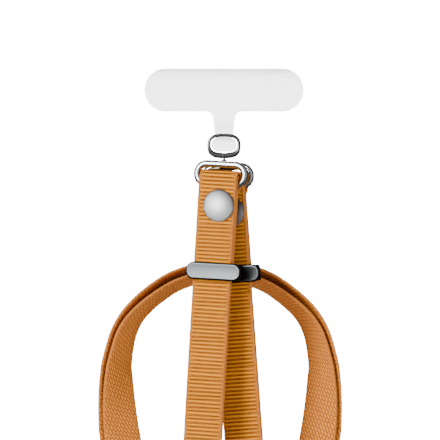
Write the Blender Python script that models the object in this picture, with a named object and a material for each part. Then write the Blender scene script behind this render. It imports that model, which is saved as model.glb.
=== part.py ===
"""Phone crossbody strap: a slip-in tab, a swivel and a doubled webbing loop.

The strap hangs from the tab. X runs to the right, Y away from the viewer and
Z up. The origin is the middle of the tab, on the swivel's upright axis.
Everything below the swivel is turned about that axis by STRAP_TURN.
"""

import math
from collections import namedtuple

import bmesh
import bpy
from mathutils import Vector

# Clearances
FIT = 0.0003
LAYER_GAP = 0.00025

# Tab that lies between a phone and its case
TAB_LENGTH = 0.0612
TAB_HEIGHT = 0.0166
TAB_THICKNESS = 0.0009
NECK_ROOT_WIDTH = 0.0132
NECK_WIDTH = 0.0084
NECK_END_WIDTH = 0.0070
NECK_FILLET = 0.0028
PAD_FRONT = 0.0007

# Swivel eye, the small oval ring that the tab ends in
EYE_WIDTH = 0.0129
EYE_HEIGHT = 0.0096
EYE_WIRE = 0.00135
EYE_FOOT = 0.0023
EYE_DEPTH = 0.0036
EYE_DROP = 0.02154
EYE_SQUARENESS = 2.8
EYE_SECTION_SQUARENESS = 3.0

# Swivel stem, which turns in the foot of the eye
STEM_DIAMETER = 0.0011
STEM_HEAD_DIAMETER = 0.0020
STEM_HEAD_HEIGHT = 0.0006
STEM_BALL_DIAMETER = 0.0021

# Strap ring: two oval wires side by side, one for each end of the strap.
# Each leans with its own tail, and the back one hangs lower.
RING_SIDE_ROOM = 0.0006
RING_HEIGHT = 0.0105
RING_WIRE = 0.0028
RING_WIRE_DEPTH = 0.0022
RING_RUN_GAP = 0.0009
BACK_WIRE_DROP = 0.0011
RING_BRIDGE_WIDTH = 0.0046
RING_BRIDGE_HEIGHT = 0.00235
WIRE_SQUARENESS = 2.3
BRIDGE_SQUARENESS = 2.6

# Webbing
WEBBING_WIDTH = 0.0154
WEBBING_THICKNESS = 0.0012
SELVEDGE = 0.0005

# Snap fasteners
SNAP_DIAMETER = 0.0125
SNAP_HEIGHT = 0.0013
SNAP_RIM = 0.0004
SNAP_POST_DIAMETER = 0.0040
SOCKET_DIAMETER = 0.0086
SOCKET_THICKNESS = 0.0008
SNAP_DROP = 0.0082
SNAP_SHIFT = 0.0014
BACK_SNAP_DROP = 0.0094

# Sliders: a round-ended plate in front of a narrower and lower sleeve
SLIDER_CHEEK = 0.00325
SLIDER_HEIGHT = 0.0068
SLIDER_CORNER = 0.0032
SLIDER_PLATE = 0.0014
SLEEVE_CHEEK = 0.0014
SLEEVE_HEIGHT = 0.0062
SLEEVE_CORNER = 0.0008
SLIDER_WALL = 0.0011
SLIDER_RIM = 0.00035
SLIDER_DROP = 0.0335
SLIDER_SHIFT = 0.0010

# How the strap side hangs
STRAP_TURN = math.radians(-20.0)
FRONT_LEAN = math.radians(3.1)
BACK_LEAN = math.radians(3.9)
TAIL_SPREAD = math.radians(1.6)
TAIL_LENGTH = 0.108

# The arch of webbing behind the tails
ARCH_HALF_WIDTH = 0.0472
ARCH_OFFSET = -0.0015
ARCH_TOP_DROP = 0.0718
LOOP_DROP = 0.1347
ARCH_DEPTH = 0.0174

# How much higher than a plain layer the outer fold stands on the inner one
FOLD_EASE = 1.25

# Sections between two rows of the loop, and steps round a slider's corner
LOOP_STEPS = 3
SLIDER_CORNER_STEPS = 5

# Worked out from the sizes above
LAYER_STEP = WEBBING_THICKNESS + LAYER_GAP
RING_WIDTH = WEBBING_WIDTH + 2 * (RING_WIRE + RING_SIDE_ROOM)
SLIDER_WIDTH = WEBBING_WIDTH + 2 * (FIT + SLIDER_CHEEK)
RING_DROP = EYE_DROP + EYE_HEIGHT / 2 + RING_RUN_GAP + RING_HEIGHT / 2
BAR_RISE = (RING_HEIGHT - RING_WIRE) / 2
INNER_FACE = RING_WIRE_DEPTH / 2 + FIT + WEBBING_THICKNESS / 2
BAR_SPACING = RING_WIRE_DEPTH + 2 * FIT + 3 * WEBBING_THICKNESS + 2 * LAYER_GAP
SLOT_DEPTH = 3 * WEBBING_THICKNESS + 2 * LAYER_GAP + 2 * FIT

LegRow = namedtuple("LegRow", "across down depth turn apart slip")

# One half of the arch, from its top to the stretch below the view.
# across is a share of ARCH_HALF_WIDTH, down of LOOP_DROP, depth of ARCH_DEPTH.
# turn is the angle of the width line from straight back towards the middle.
# apart and slip are shares of the webbing's thickness: how far the outer
# layer stands off the inner one, and how far it has slid to the front.
ARCH_ROWS = (
    LegRow(0.000, 0.000, 1.000, 14.0, 1.90, 0.00),
    LegRow(0.130, 0.004, 1.000, 14.4, 1.90, 0.00),
    LegRow(0.263, 0.014, 0.998, 15.2, 1.90, 0.00),
    LegRow(0.426, 0.040, 0.995, 16.5, 1.85, 0.00),
    LegRow(0.639, 0.098, 0.985, 20.0, 1.45, 0.00),
    LegRow(0.760, 0.160, 0.970, 27.5, 0.95, 0.20),
    LegRow(0.820, 0.244, 0.935, 35.5, 0.75, 0.50),
    LegRow(0.829, 0.296, 0.900, 44.0, 0.70, 0.55),
    LegRow(0.827, 0.357, 0.850, 52.5, 0.65, 0.60),
    LegRow(0.817, 0.406, 0.810, 58.5, 0.60, 0.80),
    LegRow(0.797, 0.462, 0.770, 63.2, 0.60, 0.95),
)

HiddenRow = namedtuple("HiddenRow", "across down depth face apart")

# The plain turns below the view. face is the heading of the width line,
# from X towards Y, mirrored for the right half. apart is as above.
LEFT_TURN_ROWS = (
    HiddenRow(0.725, 0.600, 0.67, 20.0, 0.45),
    HiddenRow(0.620, 0.730, 0.62, 16.0, 0.45),
    HiddenRow(0.490, 0.855, 0.58, 13.0, 0.45),
    HiddenRow(0.395, 0.940, 0.42, 12.0, 0.45),
    HiddenRow(0.330, 0.990, 0.12, 10.0, 0.45),
    HiddenRow(0.285, 0.985, -0.22, 6.0, 0.45),
    HiddenRow(0.250, 0.925, -0.43, 0.0, 0.45),
    HiddenRow(0.225, 0.830, -0.46, -9.0, 0.40),
    HiddenRow(0.205, 0.700, -0.43, -17.0, 0.20),
)
RIGHT_TURN_ROWS = (
    HiddenRow(0.735, 0.600, 0.83, 20.0, 0.45),
    HiddenRow(0.650, 0.730, 0.93, 16.0, 0.45),
    HiddenRow(0.550, 0.860, 0.99, 16.0, 0.45),
    HiddenRow(0.450, 0.955, 0.88, 24.0, 0.45),
    HiddenRow(0.350, 1.000, 0.52, 32.0, 0.45),
    HiddenRow(0.303, 0.950, 0.19, 26.0, 0.45),
    HiddenRow(0.281, 0.840, 0.14, 21.0, 0.30),
)

Finish = namedtuple("Finish", "name colour metallic roughness")

TAB_FILM = Finish("tab_film", (0.80, 0.80, 0.80), 0.0, 0.45)
DARK_STEEL = Finish("dark_steel", (0.14, 0.15, 0.16), 1.0, 0.30)
BRIGHT_STEEL = Finish("bright_steel", (0.38, 0.40, 0.43), 1.0, 0.18)
SATIN_STEEL = Finish("satin_steel", (0.62, 0.63, 0.66), 1.0, 0.38)
OCHRE_WEBBING = Finish("ochre_webbing", (0.58, 0.27, 0.06), 0.0, 0.85)


def clear_scene():
    """Remove every object that the file opened with."""
    for old in list(bpy.data.objects):
        bpy.data.objects.remove(old, do_unlink=True)


def make_material(finish):
    """Return the Principled material of one finish."""
    material = bpy.data.materials.get(finish.name)
    if material is None:
        material = bpy.data.materials.new(finish.name)
        material.use_nodes = True
        shader = material.node_tree.nodes["Principled BSDF"]
        shader.inputs["Base Color"].default_value = (*finish.colour, 1.0)
        shader.inputs["Metallic"].default_value = finish.metallic
        shader.inputs["Roughness"].default_value = finish.roughness
    return material


def add_object(name, bm, finish, smooth_angle=35.0):
    """Turn a bmesh into a named object with its finish."""
    bmesh.ops.remove_doubles(bm, verts=bm.verts, dist=1e-7)
    bmesh.ops.recalc_face_normals(bm, faces=bm.faces)
    mesh = bpy.data.meshes.new(name)
    bm.to_mesh(mesh)
    bm.free()
    mesh.materials.append(make_material(finish))
    mesh.shade_smooth()
    mesh.set_sharp_from_angle(angle=math.radians(smooth_angle))
    piece = bpy.data.objects.new(name, mesh)
    bpy.context.scene.collection.objects.link(piece)
    return piece


def loft(rings, closed=False):
    """Skin a row of equal rings of points, with end caps unless closed."""
    bm = bmesh.new()
    rows = [[bm.verts.new(point) for point in ring] for ring in rings]
    count = len(rows[0])
    pairs = list(zip(rows, rows[1:]))
    if closed:
        pairs.append((rows[-1], rows[0]))
    for near, far in pairs:
        for i in range(count):
            j = (i + 1) % count
            bm.faces.new((near[i], near[j], far[j], far[i]))
    if not closed:
        bm.faces.new(rows[0])
        bm.faces.new(list(reversed(rows[-1])))
    return bm


def cut_or_join(piece, other, operation):
    """Apply one exact Boolean to a piece and remove the other object."""
    modifier = piece.modifiers.new("solid", "BOOLEAN")
    modifier.operation = operation
    modifier.solver = "EXACT"
    modifier.object = other
    bpy.context.view_layer.update()
    graph = bpy.context.evaluated_depsgraph_get()
    mesh = bpy.data.meshes.new_from_object(piece.evaluated_get(graph))
    piece.modifiers.remove(modifier)
    old_mesh = piece.data
    piece.data = mesh
    bpy.data.meshes.remove(old_mesh)
    bpy.data.objects.remove(other, do_unlink=True)


def strap_axes():
    """Return the strap side's own right and back directions."""
    right = Vector((math.cos(STRAP_TURN), math.sin(STRAP_TURN), 0.0))
    back = Vector((-math.sin(STRAP_TURN), math.cos(STRAP_TURN), 0.0))
    return right, back


def lean_axes(lean):
    """Return the right and up directions of a piece that leans in its plane."""
    right, _ = strap_axes()
    up = Vector((0.0, 0.0, 1.0))
    leaning_right = right * math.cos(lean) - up * math.sin(lean)
    leaning_up = right * math.sin(lean) + up * math.cos(lean)
    return leaning_right, leaning_up


def side_lean(side):
    """Return the lean of a side's wire and tail: side is -1 in front, 1 behind."""
    return FRONT_LEAN if side < 0 else -BACK_LEAN


def wire_centre(side):
    """Return the middle of a side's oval wire."""
    _, back = strap_axes()
    drop = RING_DROP if side < 0 else RING_DROP + BACK_WIRE_DROP
    return Vector((0.0, 0.0, -drop)) + back * side * BAR_SPACING / 2


def smooth_step(share):
    """Ease a share from 0 to 1."""
    share = min(max(share, 0.0), 1.0)
    return share * share * (3.0 - 2.0 * share)


# Tab


def tab_row(height, half_width, front, back):
    """Return one level cross-section of the tab."""
    return [
        Vector((-half_width, front, height)),
        Vector((half_width, front, height)),
        Vector((half_width, back, height)),
        Vector((-half_width, back, height)),
    ]


def oval_half_width(height, half_width, half_height, squareness):
    """Return half the width of a rounded oval at a height above its middle."""
    share = min(abs(height) / half_height, 1.0)
    return half_width * (1.0 - share ** squareness) ** (1.0 / squareness)


def eye_opening():
    """Return the half width, half height and middle height of the eye's hole."""
    half_width = EYE_WIDTH / 2 - EYE_WIRE
    half_height = (EYE_HEIGHT - EYE_WIRE - EYE_FOOT) / 2
    middle = -EYE_DROP + (EYE_FOOT - EYE_WIRE) / 2
    return half_width, half_height, middle


def build_tab():
    """Make the tab: a round-ended plate, its neck and the pad in the eye."""
    half = TAB_THICKNESS / 2
    radius = TAB_HEIGHT / 2
    straight = TAB_LENGTH / 2 - radius
    rows = []
    steps = 14
    for i in range(steps + 1):
        angle = math.pi * (0.5 - i / steps)
        reach = max(radius * math.cos(angle), radius * 0.02)
        rows.append(tab_row(radius * math.sin(angle), straight + reach, -half, half))

    neck_back = EYE_DEPTH / 2 + FIT + TAB_THICKNESS
    hole_half_width, hole_half_height, hole_middle = eye_opening()
    pad_top = hole_middle + hole_half_height - FIT
    fillet_steps = 5
    for i in range(1, fillet_steps + 1):
        turn = 0.5 * math.pi * i / fillet_steps
        flare = (NECK_ROOT_WIDTH - NECK_WIDTH) / 2 * (1.0 - math.sin(turn))
        drop = radius + NECK_FILLET * (1.0 - math.cos(turn))
        rows.append(tab_row(-drop, NECK_WIDTH / 2 + flare, -half, half))
    bend_top = radius + NECK_FILLET
    bend_end = EYE_DROP - EYE_HEIGHT / 2 - FIT
    bend_steps = 8
    for i in range(1, bend_steps + 1):
        share = i / bend_steps
        offset = (neck_back - half) * smooth_step(share)
        width = NECK_WIDTH + (NECK_END_WIDTH - NECK_WIDTH) * share
        height = -(bend_top + (bend_end - bend_top) * share)
        rows.append(tab_row(height, width / 2, offset - half, offset + half))
    rows.append(tab_row(pad_top, NECK_END_WIDTH / 2, neck_back - TAB_THICKNESS, neck_back))

    pad_steps = 8
    pad_half_height = hole_half_height - FIT
    for i in range(pad_steps + 1):
        height = pad_half_height * math.cos(math.pi * (0.12 + 0.86 * i / pad_steps))
        half_width = oval_half_width(height, hole_half_width - FIT, pad_half_height, EYE_SQUARENESS)
        rows.append(tab_row(hole_middle + height, half_width, -PAD_FRONT, neck_back))
    return add_object("phone_tab", loft(rows), TAB_FILM)


# Swivel eye


def section_points(centre, across, along, half_across, half_along, squareness, count):
    """Return a closed rounded section in the plane of two directions."""
    points = []
    for i in range(count):
        angle = 2.0 * math.pi * (i + 0.5) / count
        c = math.cos(angle)
        s = math.sin(angle)
        x = math.copysign(abs(c) ** (2.0 / squareness), c) * half_across
        y = math.copysign(abs(s) ** (2.0 / squareness), s) * half_along
        points.append(centre + across * x + along * y)
    return points


def oval_point(angle, half_width, half_height, squareness):
    """Return a point of a rounded oval in the X and Z plane."""
    c = math.cos(angle)
    s = math.sin(angle)
    x = math.copysign(abs(c) ** (2.0 / squareness), c) * half_width
    z = math.copysign(abs(s) ** (2.0 / squareness), s) * half_height
    return Vector((x, 0.0, z))


def build_eye():
    """Make the oval eye with its heavy foot and the stem's stepped hole."""
    hole_half_width, hole_half_height, hole_middle = eye_opening()
    sides = 40
    rings = []
    for i in range(sides):
        angle = 2.0 * math.pi * i / sides
        outer = oval_point(angle, EYE_WIDTH / 2, EYE_HEIGHT / 2, EYE_SQUARENESS)
        outer.z -= EYE_DROP
        inner = oval_point(angle, hole_half_width, hole_half_height, EYE_SQUARENESS)
        inner.z += hole_middle
        across = (outer - inner).normalized()
        rings.append(section_points(
            (outer + inner) / 2, across, Vector((0.0, 1.0, 0.0)),
            (outer - inner).length / 2, EYE_DEPTH / 2, EYE_SECTION_SQUARENESS, 10))
    eye = add_object("swivel_eye", loft(rings, closed=True), DARK_STEEL)

    foot_top = -EYE_DROP - EYE_HEIGHT / 2 + EYE_FOOT
    seat = foot_top - STEM_HEAD_HEIGHT - FIT
    bore = turned_solid("bore", ((STEM_DIAMETER / 2 + FIT, foot_top - 2 * EYE_FOOT),
                                 (STEM_DIAMETER / 2 + FIT, seat - FIT),
                                 (STEM_HEAD_DIAMETER / 2 + FIT, seat - FIT),
                                 (STEM_HEAD_DIAMETER / 2 + FIT, foot_top + EYE_WIRE)), 16)
    cut_or_join(eye, bore, "DIFFERENCE")
    return eye


def turned_solid(name, profile, sides, finish=BRIGHT_STEEL, frame=None):
    """Turn a profile of (radius, height) pairs about an axis into a solid.

    frame is (origin, right, depth, axis); the plain one is the swivel's.
    """
    if frame is None:
        frame = (Vector(), Vector((1, 0, 0)), Vector((0, 1, 0)), Vector((0, 0, 1)))
    origin, right, depth, axis = frame
    rings = []
    for radius, height in profile:
        ring = []
        for i in range(sides):
            angle = 2.0 * math.pi * i / sides
            spoke = right * math.cos(angle) + depth * math.sin(angle)
            ring.append(origin + spoke * radius + axis * height)
        rings.append(ring)
    return add_object(name, loft(rings), finish)


# Strap ring


def build_strap_ring():
    """Make the double ring, its bridge and the swivel stem as one solid."""
    _, back = strap_axes()
    radius = BAR_RISE
    straight = RING_WIDTH / 2 - RING_HEIGHT / 2
    end_steps = 12
    ring = None
    bridge_rings = []
    for side in (-1.0, 1.0):
        right, up = lean_axes(side_lean(side))
        centre = wire_centre(side)
        rings = []
        for end in (1.0, -1.0):
            for i in range(end_steps + 1):
                angle = math.pi * (i / end_steps - 0.5)
                spoke = (right * math.cos(angle) + up * math.sin(angle)) * end
                middle = centre + right * straight * end + spoke * radius
                rings.append(section_points(middle, spoke, back, RING_WIRE / 2,
                                            RING_WIRE_DEPTH / 2, WIRE_SQUARENESS, 12))
        wire = add_object("wire", loft(rings, closed=True), BRIGHT_STEEL)
        if ring is None:
            ring = wire
        else:
            cut_or_join(ring, wire, "UNION")
        bridge_rings.append(section_points(centre + up * BAR_RISE, right, up, RING_BRIDGE_WIDTH / 2,
                                           RING_BRIDGE_HEIGHT / 2, BRIDGE_SQUARENESS, 12))
    cut_or_join(ring, add_object("bridge", loft(bridge_rings), BRIGHT_STEEL), "UNION")

    foot_top = -EYE_DROP - EYE_HEIGHT / 2 + EYE_FOOT
    head_bottom = foot_top - STEM_HEAD_HEIGHT - FIT
    ball = STEM_BALL_DIAMETER / 2
    neck = STEM_DIAMETER / 2
    eye_bottom = -EYE_DROP - EYE_HEIGHT / 2
    stem = turned_solid("stem", (
        (neck, -RING_DROP + BAR_RISE - BACK_WIRE_DROP / 2),
        (ball * 0.8, eye_bottom - FIT - ball * 0.9),
        (ball, eye_bottom - FIT - ball * 0.5), (neck, eye_bottom - FIT),
        (neck, head_bottom), (STEM_HEAD_DIAMETER / 2, head_bottom),
        (STEM_HEAD_DIAMETER / 2, head_bottom + STEM_HEAD_HEIGHT * 0.6),
        (neck * 0.6, head_bottom + STEM_HEAD_HEIGHT)), 14)
    cut_or_join(ring, stem, "UNION")
    ring.name = "strap_ring"
    ring.data.name = "strap_ring"
    return ring


# Webbing

Station = namedtuple("Station", "point width")


def bar_centre(side):
    """Return the middle of a side's lower bar."""
    _, up = lean_axes(side_lean(side))
    return wire_centre(side) - up * BAR_RISE


def tail_frame(side, drop):
    """Return a tail's middle line, right, down and back directions.

    The middle line starts at the bar's centre. The directions are square to
    each other and follow the tail's lean and its spread.
    """
    _, back = strap_axes()
    right, up = lean_axes(side_lean(side))
    fall = back * side * math.tan(TAIL_SPREAD) - up
    down = fall.normalized()
    return bar_centre(side) + fall * drop, right, down, right.cross(down)


def fold_rise():
    """Return how far the inner layer's middle passes above the bar's centre.

    The ring's round corners lift the fold's edges, so it clears them.
    """
    corner = RING_HEIGHT / 2 - RING_WIRE
    beyond = WEBBING_WIDTH / 2 - (RING_WIDTH / 2 - RING_HEIGHT / 2)
    lift = corner - math.sqrt(max(corner ** 2 - beyond ** 2, 0.0))
    return RING_WIRE / 2 + lift + FIT + WEBBING_THICKNESS / 2


def fold_stations(side, front, rear, rise, first_turn, last_turn, steps):
    """Return stations over a bar, from first_turn to last_turn.

    Turns are in degrees: 0 is in front of the bar, 90 above it, 180 behind.
    """
    right, up = lean_axes(side_lean(side))
    _, back = strap_axes()
    bar = bar_centre(side)
    stations = []
    for i in range(steps + 1):
        turn = math.radians(first_turn + (last_turn - first_turn) * i / steps)
        middle = (rear + front) / 2
        y = middle - (rear - front) / 2 * math.cos(turn)
        point = bar + back * y + up * rise * math.sin(turn)
        stations.append(Station(point, right * -side))
    return stations


def return_stations(side):
    """Return stations of the outer layer's end, from the slider up to the bar."""
    end_drop = SLIDER_DROP + SLIDER_HEIGHT / 2 - SLIDER_WALL
    stack = -INNER_FACE + LAYER_STEP
    settle_start = RING_WIRE * 0.3
    settle_end = SNAP_DROP - SOCKET_DIAMETER / 2 - FIT
    settle_run = settle_end - settle_start
    drops = [settle_end + (end_drop - settle_end) * share
             for share in (1.0, 0.8, 0.6, 0.4, 0.2, 0.1, 0.0)]
    drops += [settle_start + settle_run * share
              for share in (0.86, 0.72, 0.58, 0.44, 0.3, 0.15, 0.0)]
    stations = []
    for drop in drops:
        point, right, _, back = tail_frame(side, drop)
        settle = smooth_step((drop - settle_start) / settle_run)
        y = INNER_FACE + (stack - INNER_FACE) * settle
        stations.append(Station(point + back * y, right * -side))
    return stations


def tail_stations(side):
    """Return the inner layer's stations down a tail, in front of its bar."""
    stations = []
    for share in (0.03, 0.08, 0.16, 0.26, 0.4, 0.7, 1.0):
        point, right, _, back = tail_frame(side, TAIL_LENGTH * share)
        stations.append(Station(point - back * INNER_FACE, right * -side))
    return stations


def leg_point(row, side):
    """Return the place that a row gives on the left (-1) or right (1) half."""
    return Vector((
        ARCH_OFFSET + side * row.across * ARCH_HALF_WIDTH,
        row.depth * ARCH_DEPTH,
        -ARCH_TOP_DROP - row.down * LOOP_DROP,
    ))


def spline(points, steps):
    """Return points on a smooth curve through a list of vectors."""
    result = []
    last = len(points) - 1
    for i in range(last):
        before = points[max(i - 1, 0)]
        after = points[min(i + 2, last)]
        here = points[i]
        there = points[i + 1]
        for k in range(steps):
            t = k / steps
            result.append(0.5 * (
                2.0 * here + (there - before) * t
                + (2.0 * before - 5.0 * here + 4.0 * there - after) * t ** 2
                + (3.0 * here - before - 3.0 * there + after) * t ** 3))
    result.append(points[last])
    return result


def row_widths(points, rows, side):
    """Return the width direction at each of a half's rows."""
    depth = Vector((0.0, 1.0, 0.0))
    widths = []
    for i, row in enumerate(rows):
        if isinstance(row, HiddenRow):
            face = math.radians(row.face)
            widths.append(Vector((-side * math.cos(face), math.sin(face), 0.0)))
            continue
        ahead = points[min(i + 1, len(points) - 1)]
        behind = points[i - 1] if i else leg_point(rows[1], -side)
        inward = depth.cross((ahead - behind) * side).normalized()
        turn = math.radians(row.turn)
        widths.append(depth * math.cos(turn) + inward * math.sin(turn))
    return widths


def loop_stations(steps):
    """Return the inner layer's stations and the outer layer's stand-off.

    They run down the front tail, up the left leg, over the arch, down the
    right leg and up the back tail.
    """
    front = tail_stations(-1.0)
    rear = list(reversed(tail_stations(1.0)))
    points = []
    widths = []
    offsets = []
    for side, hidden in ((-1.0, LEFT_TURN_ROWS), (1.0, RIGHT_TURN_ROWS)):
        rows = list(ARCH_ROWS) + list(hidden)
        half_points = [leg_point(row, side) for row in rows]
        half_widths = row_widths(half_points, rows, side)
        half_offsets = [
            Vector((row.apart, getattr(row, "slip", 0.0), 0.0)) * WEBBING_THICKNESS
            for row in rows]
        tail = front if side < 0 else rear
        if side < 0:
            half_points.reverse()
            half_widths.reverse()
            half_offsets.reverse()
            points = [s.point for s in tail] + half_points
            widths = [s.width for s in tail] + half_widths
            offsets = [Vector() for _ in tail] + half_offsets
        else:
            points += half_points[1:] + [s.point for s in tail]
            widths += half_widths[1:] + [s.width for s in tail]
            offsets += half_offsets[1:] + [Vector() for _ in tail]
    stations = [Station(p, w) for p, w in zip(spline(points, steps), spline(widths, steps))]
    return stations, spline(offsets, steps)


def station_frames(stations):
    """Return (point, width, hollow side) for each station, all square."""
    frames = []
    last = len(stations) - 1
    for i, station in enumerate(stations):
        ahead = stations[min(i + 1, last)].point
        behind = stations[max(i - 1, 0)].point
        along = (ahead - behind).normalized()
        width = (station.width - along * station.width.dot(along)).normalized()
        frames.append((station.point, width, width.cross(along)))
    return frames


def webbing_solid(name, stations):
    """Sweep the webbing's flat section through stations into a solid."""
    half_width = WEBBING_WIDTH / 2
    half = WEBBING_THICKNESS / 2
    corners = (
        (-half_width, -half * 0.4), (-half_width + SELVEDGE, -half),
        (half_width - SELVEDGE, -half), (half_width, -half * 0.4),
        (half_width, half * 0.4), (half_width - SELVEDGE, half),
        (-half_width + SELVEDGE, half), (-half_width, half * 0.4))
    rings = []
    for point, width, hollow in station_frames(stations):
        rings.append([point + width * x + hollow * y for x, y in corners])
    return add_object(name, loft(rings), OCHRE_WEBBING)


def outer_stations():
    """Return the outer layer's stations, with both of its folded ends."""
    inner, offsets = loop_stations(LOOP_STEPS)
    rise = fold_rise() + LAYER_STEP * FOLD_EASE
    over = -INNER_FACE - LAYER_STEP
    stations = return_stations(-1.0)
    stations += fold_stations(-1.0, over, INNER_FACE, rise, 180.0, 0.0, 14)
    frames = station_frames(inner)
    for (point, width, hollow), offset in zip(frames, offsets):
        moved = point - hollow * (LAYER_STEP + offset.x) - width * offset.y
        stations.append(Station(moved, width))
    stations += fold_stations(1.0, over, INNER_FACE, rise, 0.0, 180.0, 14)
    stations += list(reversed(return_stations(1.0)))
    return stations


def inner_stations():
    """Return the inner layer's stations; its ends lie over the bars."""
    inner, _ = loop_stations(LOOP_STEPS)
    rise = fold_rise()
    stations = fold_stations(-1.0, -INNER_FACE, INNER_FACE, rise, 90.0, 0.0, 8)
    stations += inner
    stations += fold_stations(1.0, -INNER_FACE, INNER_FACE, rise, 0.0, 90.0, 8)
    return stations


# Snaps and sliders


def snap_frame(side):
    """Return a snap's frame on its tail's front face, its axis to the front."""
    drop = SNAP_DROP if side < 0 else BACK_SNAP_DROP
    point, right, down, back = tail_frame(side, drop)
    face = -INNER_FACE - LAYER_STEP - WEBBING_THICKNESS / 2
    origin = point + right * SNAP_SHIFT + back * face
    return origin, right, -down, -back


def build_snap(side, name, layers):
    """Make a snap's domed cap with its post, and the socket behind."""
    frame = snap_frame(side)
    origin, right, up, front = frame
    radius = SNAP_DIAMETER / 2
    post = SNAP_POST_DIAMETER / 2
    stack = 3 * WEBBING_THICKNESS + 2 * LAYER_GAP
    cap_profile = [(post, -stack - FIT), (post, FIT * 0.5), (radius * 0.97, FIT * 0.5),
                   (radius, FIT + SNAP_RIM * 0.5), (radius, FIT + SNAP_RIM)]
    dome_steps = 4
    for i in range(1, dome_steps):
        turn = 0.5 * math.pi * i / dome_steps
        cap_profile.append((
            radius * math.cos(turn),
            FIT + SNAP_RIM + (SNAP_HEIGHT - SNAP_RIM) * math.sin(turn)))
    cap_profile.append((radius * 0.12, FIT + SNAP_HEIGHT))
    turned_solid(name + "_cap", cap_profile, 32, SATIN_STEEL, frame)

    socket = SOCKET_DIAMETER / 2
    top = -stack - FIT * 0.5
    base = top - SOCKET_THICKNESS
    body = turned_solid(name + "_socket", (
        (socket * 0.9, base), (socket, base + SOCKET_THICKNESS * 0.4),
        (socket, top)), 28, SATIN_STEEL, frame)
    pocket = turned_solid("pocket", (
        (post + FIT, top - FIT - SOCKET_THICKNESS * 0.35),
        (post + FIT, top + SOCKET_THICKNESS)), 20, SATIN_STEEL, frame)
    cut_or_join(body, pocket, "DIFFERENCE")

    for layer in layers:
        hole = turned_solid("hole", ((post + FIT, -stack - SOCKET_THICKNESS),
                                     (post + FIT, SNAP_HEIGHT)), 20, SATIN_STEEL, frame)
        cut_or_join(layer, hole, "DIFFERENCE")


def rounded_bar(half_width, half_height, corner, steps):
    """Return the outline of a bar with rounded corners as (x, z) pairs."""
    outline = []
    for quarter in range(4):
        x_side = 1.0 if quarter in (0, 3) else -1.0
        z_side = 1.0 if quarter in (0, 1) else -1.0
        for i in range(steps + 1):
            angle = math.pi / 2 * (quarter + i / steps)
            outline.append((x_side * (half_width - corner) + corner * math.cos(angle),
                            z_side * (half_height - corner) + corner * math.sin(angle)))
    return outline


def build_slider(side, name):
    """Make a slider: a plate on a sleeve that the doubled tail runs through."""
    point, right, down, back = tail_frame(side, SLIDER_DROP)
    point = point + right * SLIDER_SHIFT
    middle = -INNER_FACE
    half_depth = SLOT_DEPTH / 2 + SLIDER_WALL
    plate = (SLIDER_WIDTH / 2, SLIDER_HEIGHT / 2, SLIDER_CORNER)
    sleeve = (WEBBING_WIDTH / 2 + FIT + SLEEVE_CHEEK, SLEEVE_HEIGHT / 2, SLEEVE_CORNER)
    plate_back = SLIDER_PLATE - half_depth
    rings = []
    for sizes, inset, y in ((plate, SLIDER_RIM, -half_depth), (plate, 0.0, -half_depth + SLIDER_RIM),
                            (plate, 0.0, plate_back), (sleeve, 0.0, plate_back),
                            (sleeve, 0.0, half_depth - SLIDER_RIM), (sleeve, SLIDER_RIM, half_depth)):
        outline = rounded_bar(*(size - inset for size in sizes), SLIDER_CORNER_STEPS)
        rings.append([point + right * x - down * z + back * (middle + y) for x, z in outline])
    slider = add_object(name, loft(rings), SATIN_STEEL)
    slot_half = WEBBING_WIDTH / 2 + FIT
    slot_rings = []
    for z in (-SLIDER_HEIGHT, SLIDER_HEIGHT):
        corners = ((-slot_half, -SLOT_DEPTH / 2), (slot_half, -SLOT_DEPTH / 2),
                   (slot_half, SLOT_DEPTH / 2), (-slot_half, SLOT_DEPTH / 2))
        slot_rings.append([
            point + right * (x - SLIDER_SHIFT) - down * z + back * (middle + y)
            for x, y in corners])
    cut_or_join(slider, add_object("slot", loft(slot_rings), SATIN_STEEL), "DIFFERENCE")
    return slider


def main():
    """Build every piece of the strap."""
    clear_scene()
    build_tab()
    build_eye()
    build_strap_ring()
    outer = webbing_solid("webbing_outer", outer_stations())
    inner = webbing_solid("webbing_inner", inner_stations())
    build_snap(-1.0, "front_snap", (outer, inner))
    build_snap(1.0, "back_snap", (outer, inner))
    build_slider(-1.0, "front_slider")
    build_slider(1.0, "back_slider")


main()
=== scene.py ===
"""Looks of a phone crossbody strap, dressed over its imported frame.

The tab, the swivel eye, the double ring, the snaps and the sliders are turned
or lofted finely from the sizes of the frame. The webbing is swept along the
route that it hangs in, and Geometry Nodes lay its ribs and its edge loops.
"""

import logging
import math
from dataclasses import dataclass, field
from enum import Enum
from typing import Iterable, NamedTuple, Optional, Sequence

import bmesh
import bpy
from mathutils import Matrix, Vector


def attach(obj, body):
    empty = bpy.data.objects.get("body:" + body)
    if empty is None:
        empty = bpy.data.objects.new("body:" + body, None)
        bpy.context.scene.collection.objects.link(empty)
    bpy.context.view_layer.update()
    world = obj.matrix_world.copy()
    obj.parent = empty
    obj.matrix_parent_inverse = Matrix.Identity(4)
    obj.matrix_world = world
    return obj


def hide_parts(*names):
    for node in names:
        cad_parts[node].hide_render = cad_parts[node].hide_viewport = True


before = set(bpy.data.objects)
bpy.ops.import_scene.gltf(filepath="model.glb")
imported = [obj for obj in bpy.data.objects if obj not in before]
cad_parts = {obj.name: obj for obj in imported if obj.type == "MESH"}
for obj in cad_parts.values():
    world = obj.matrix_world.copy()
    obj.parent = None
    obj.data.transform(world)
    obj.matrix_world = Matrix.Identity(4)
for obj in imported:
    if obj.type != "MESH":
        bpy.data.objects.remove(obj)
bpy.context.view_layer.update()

LOG = logging.getLogger("crossbody_strap")
MM = 0.001

Ring = list[Vector]
Colour = tuple[float, float, float]


class Body(Enum):
    """The two bodies that turn against each other at the swivel."""

    TAB = "tab_side"
    STRAP = "strap_side"


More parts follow.
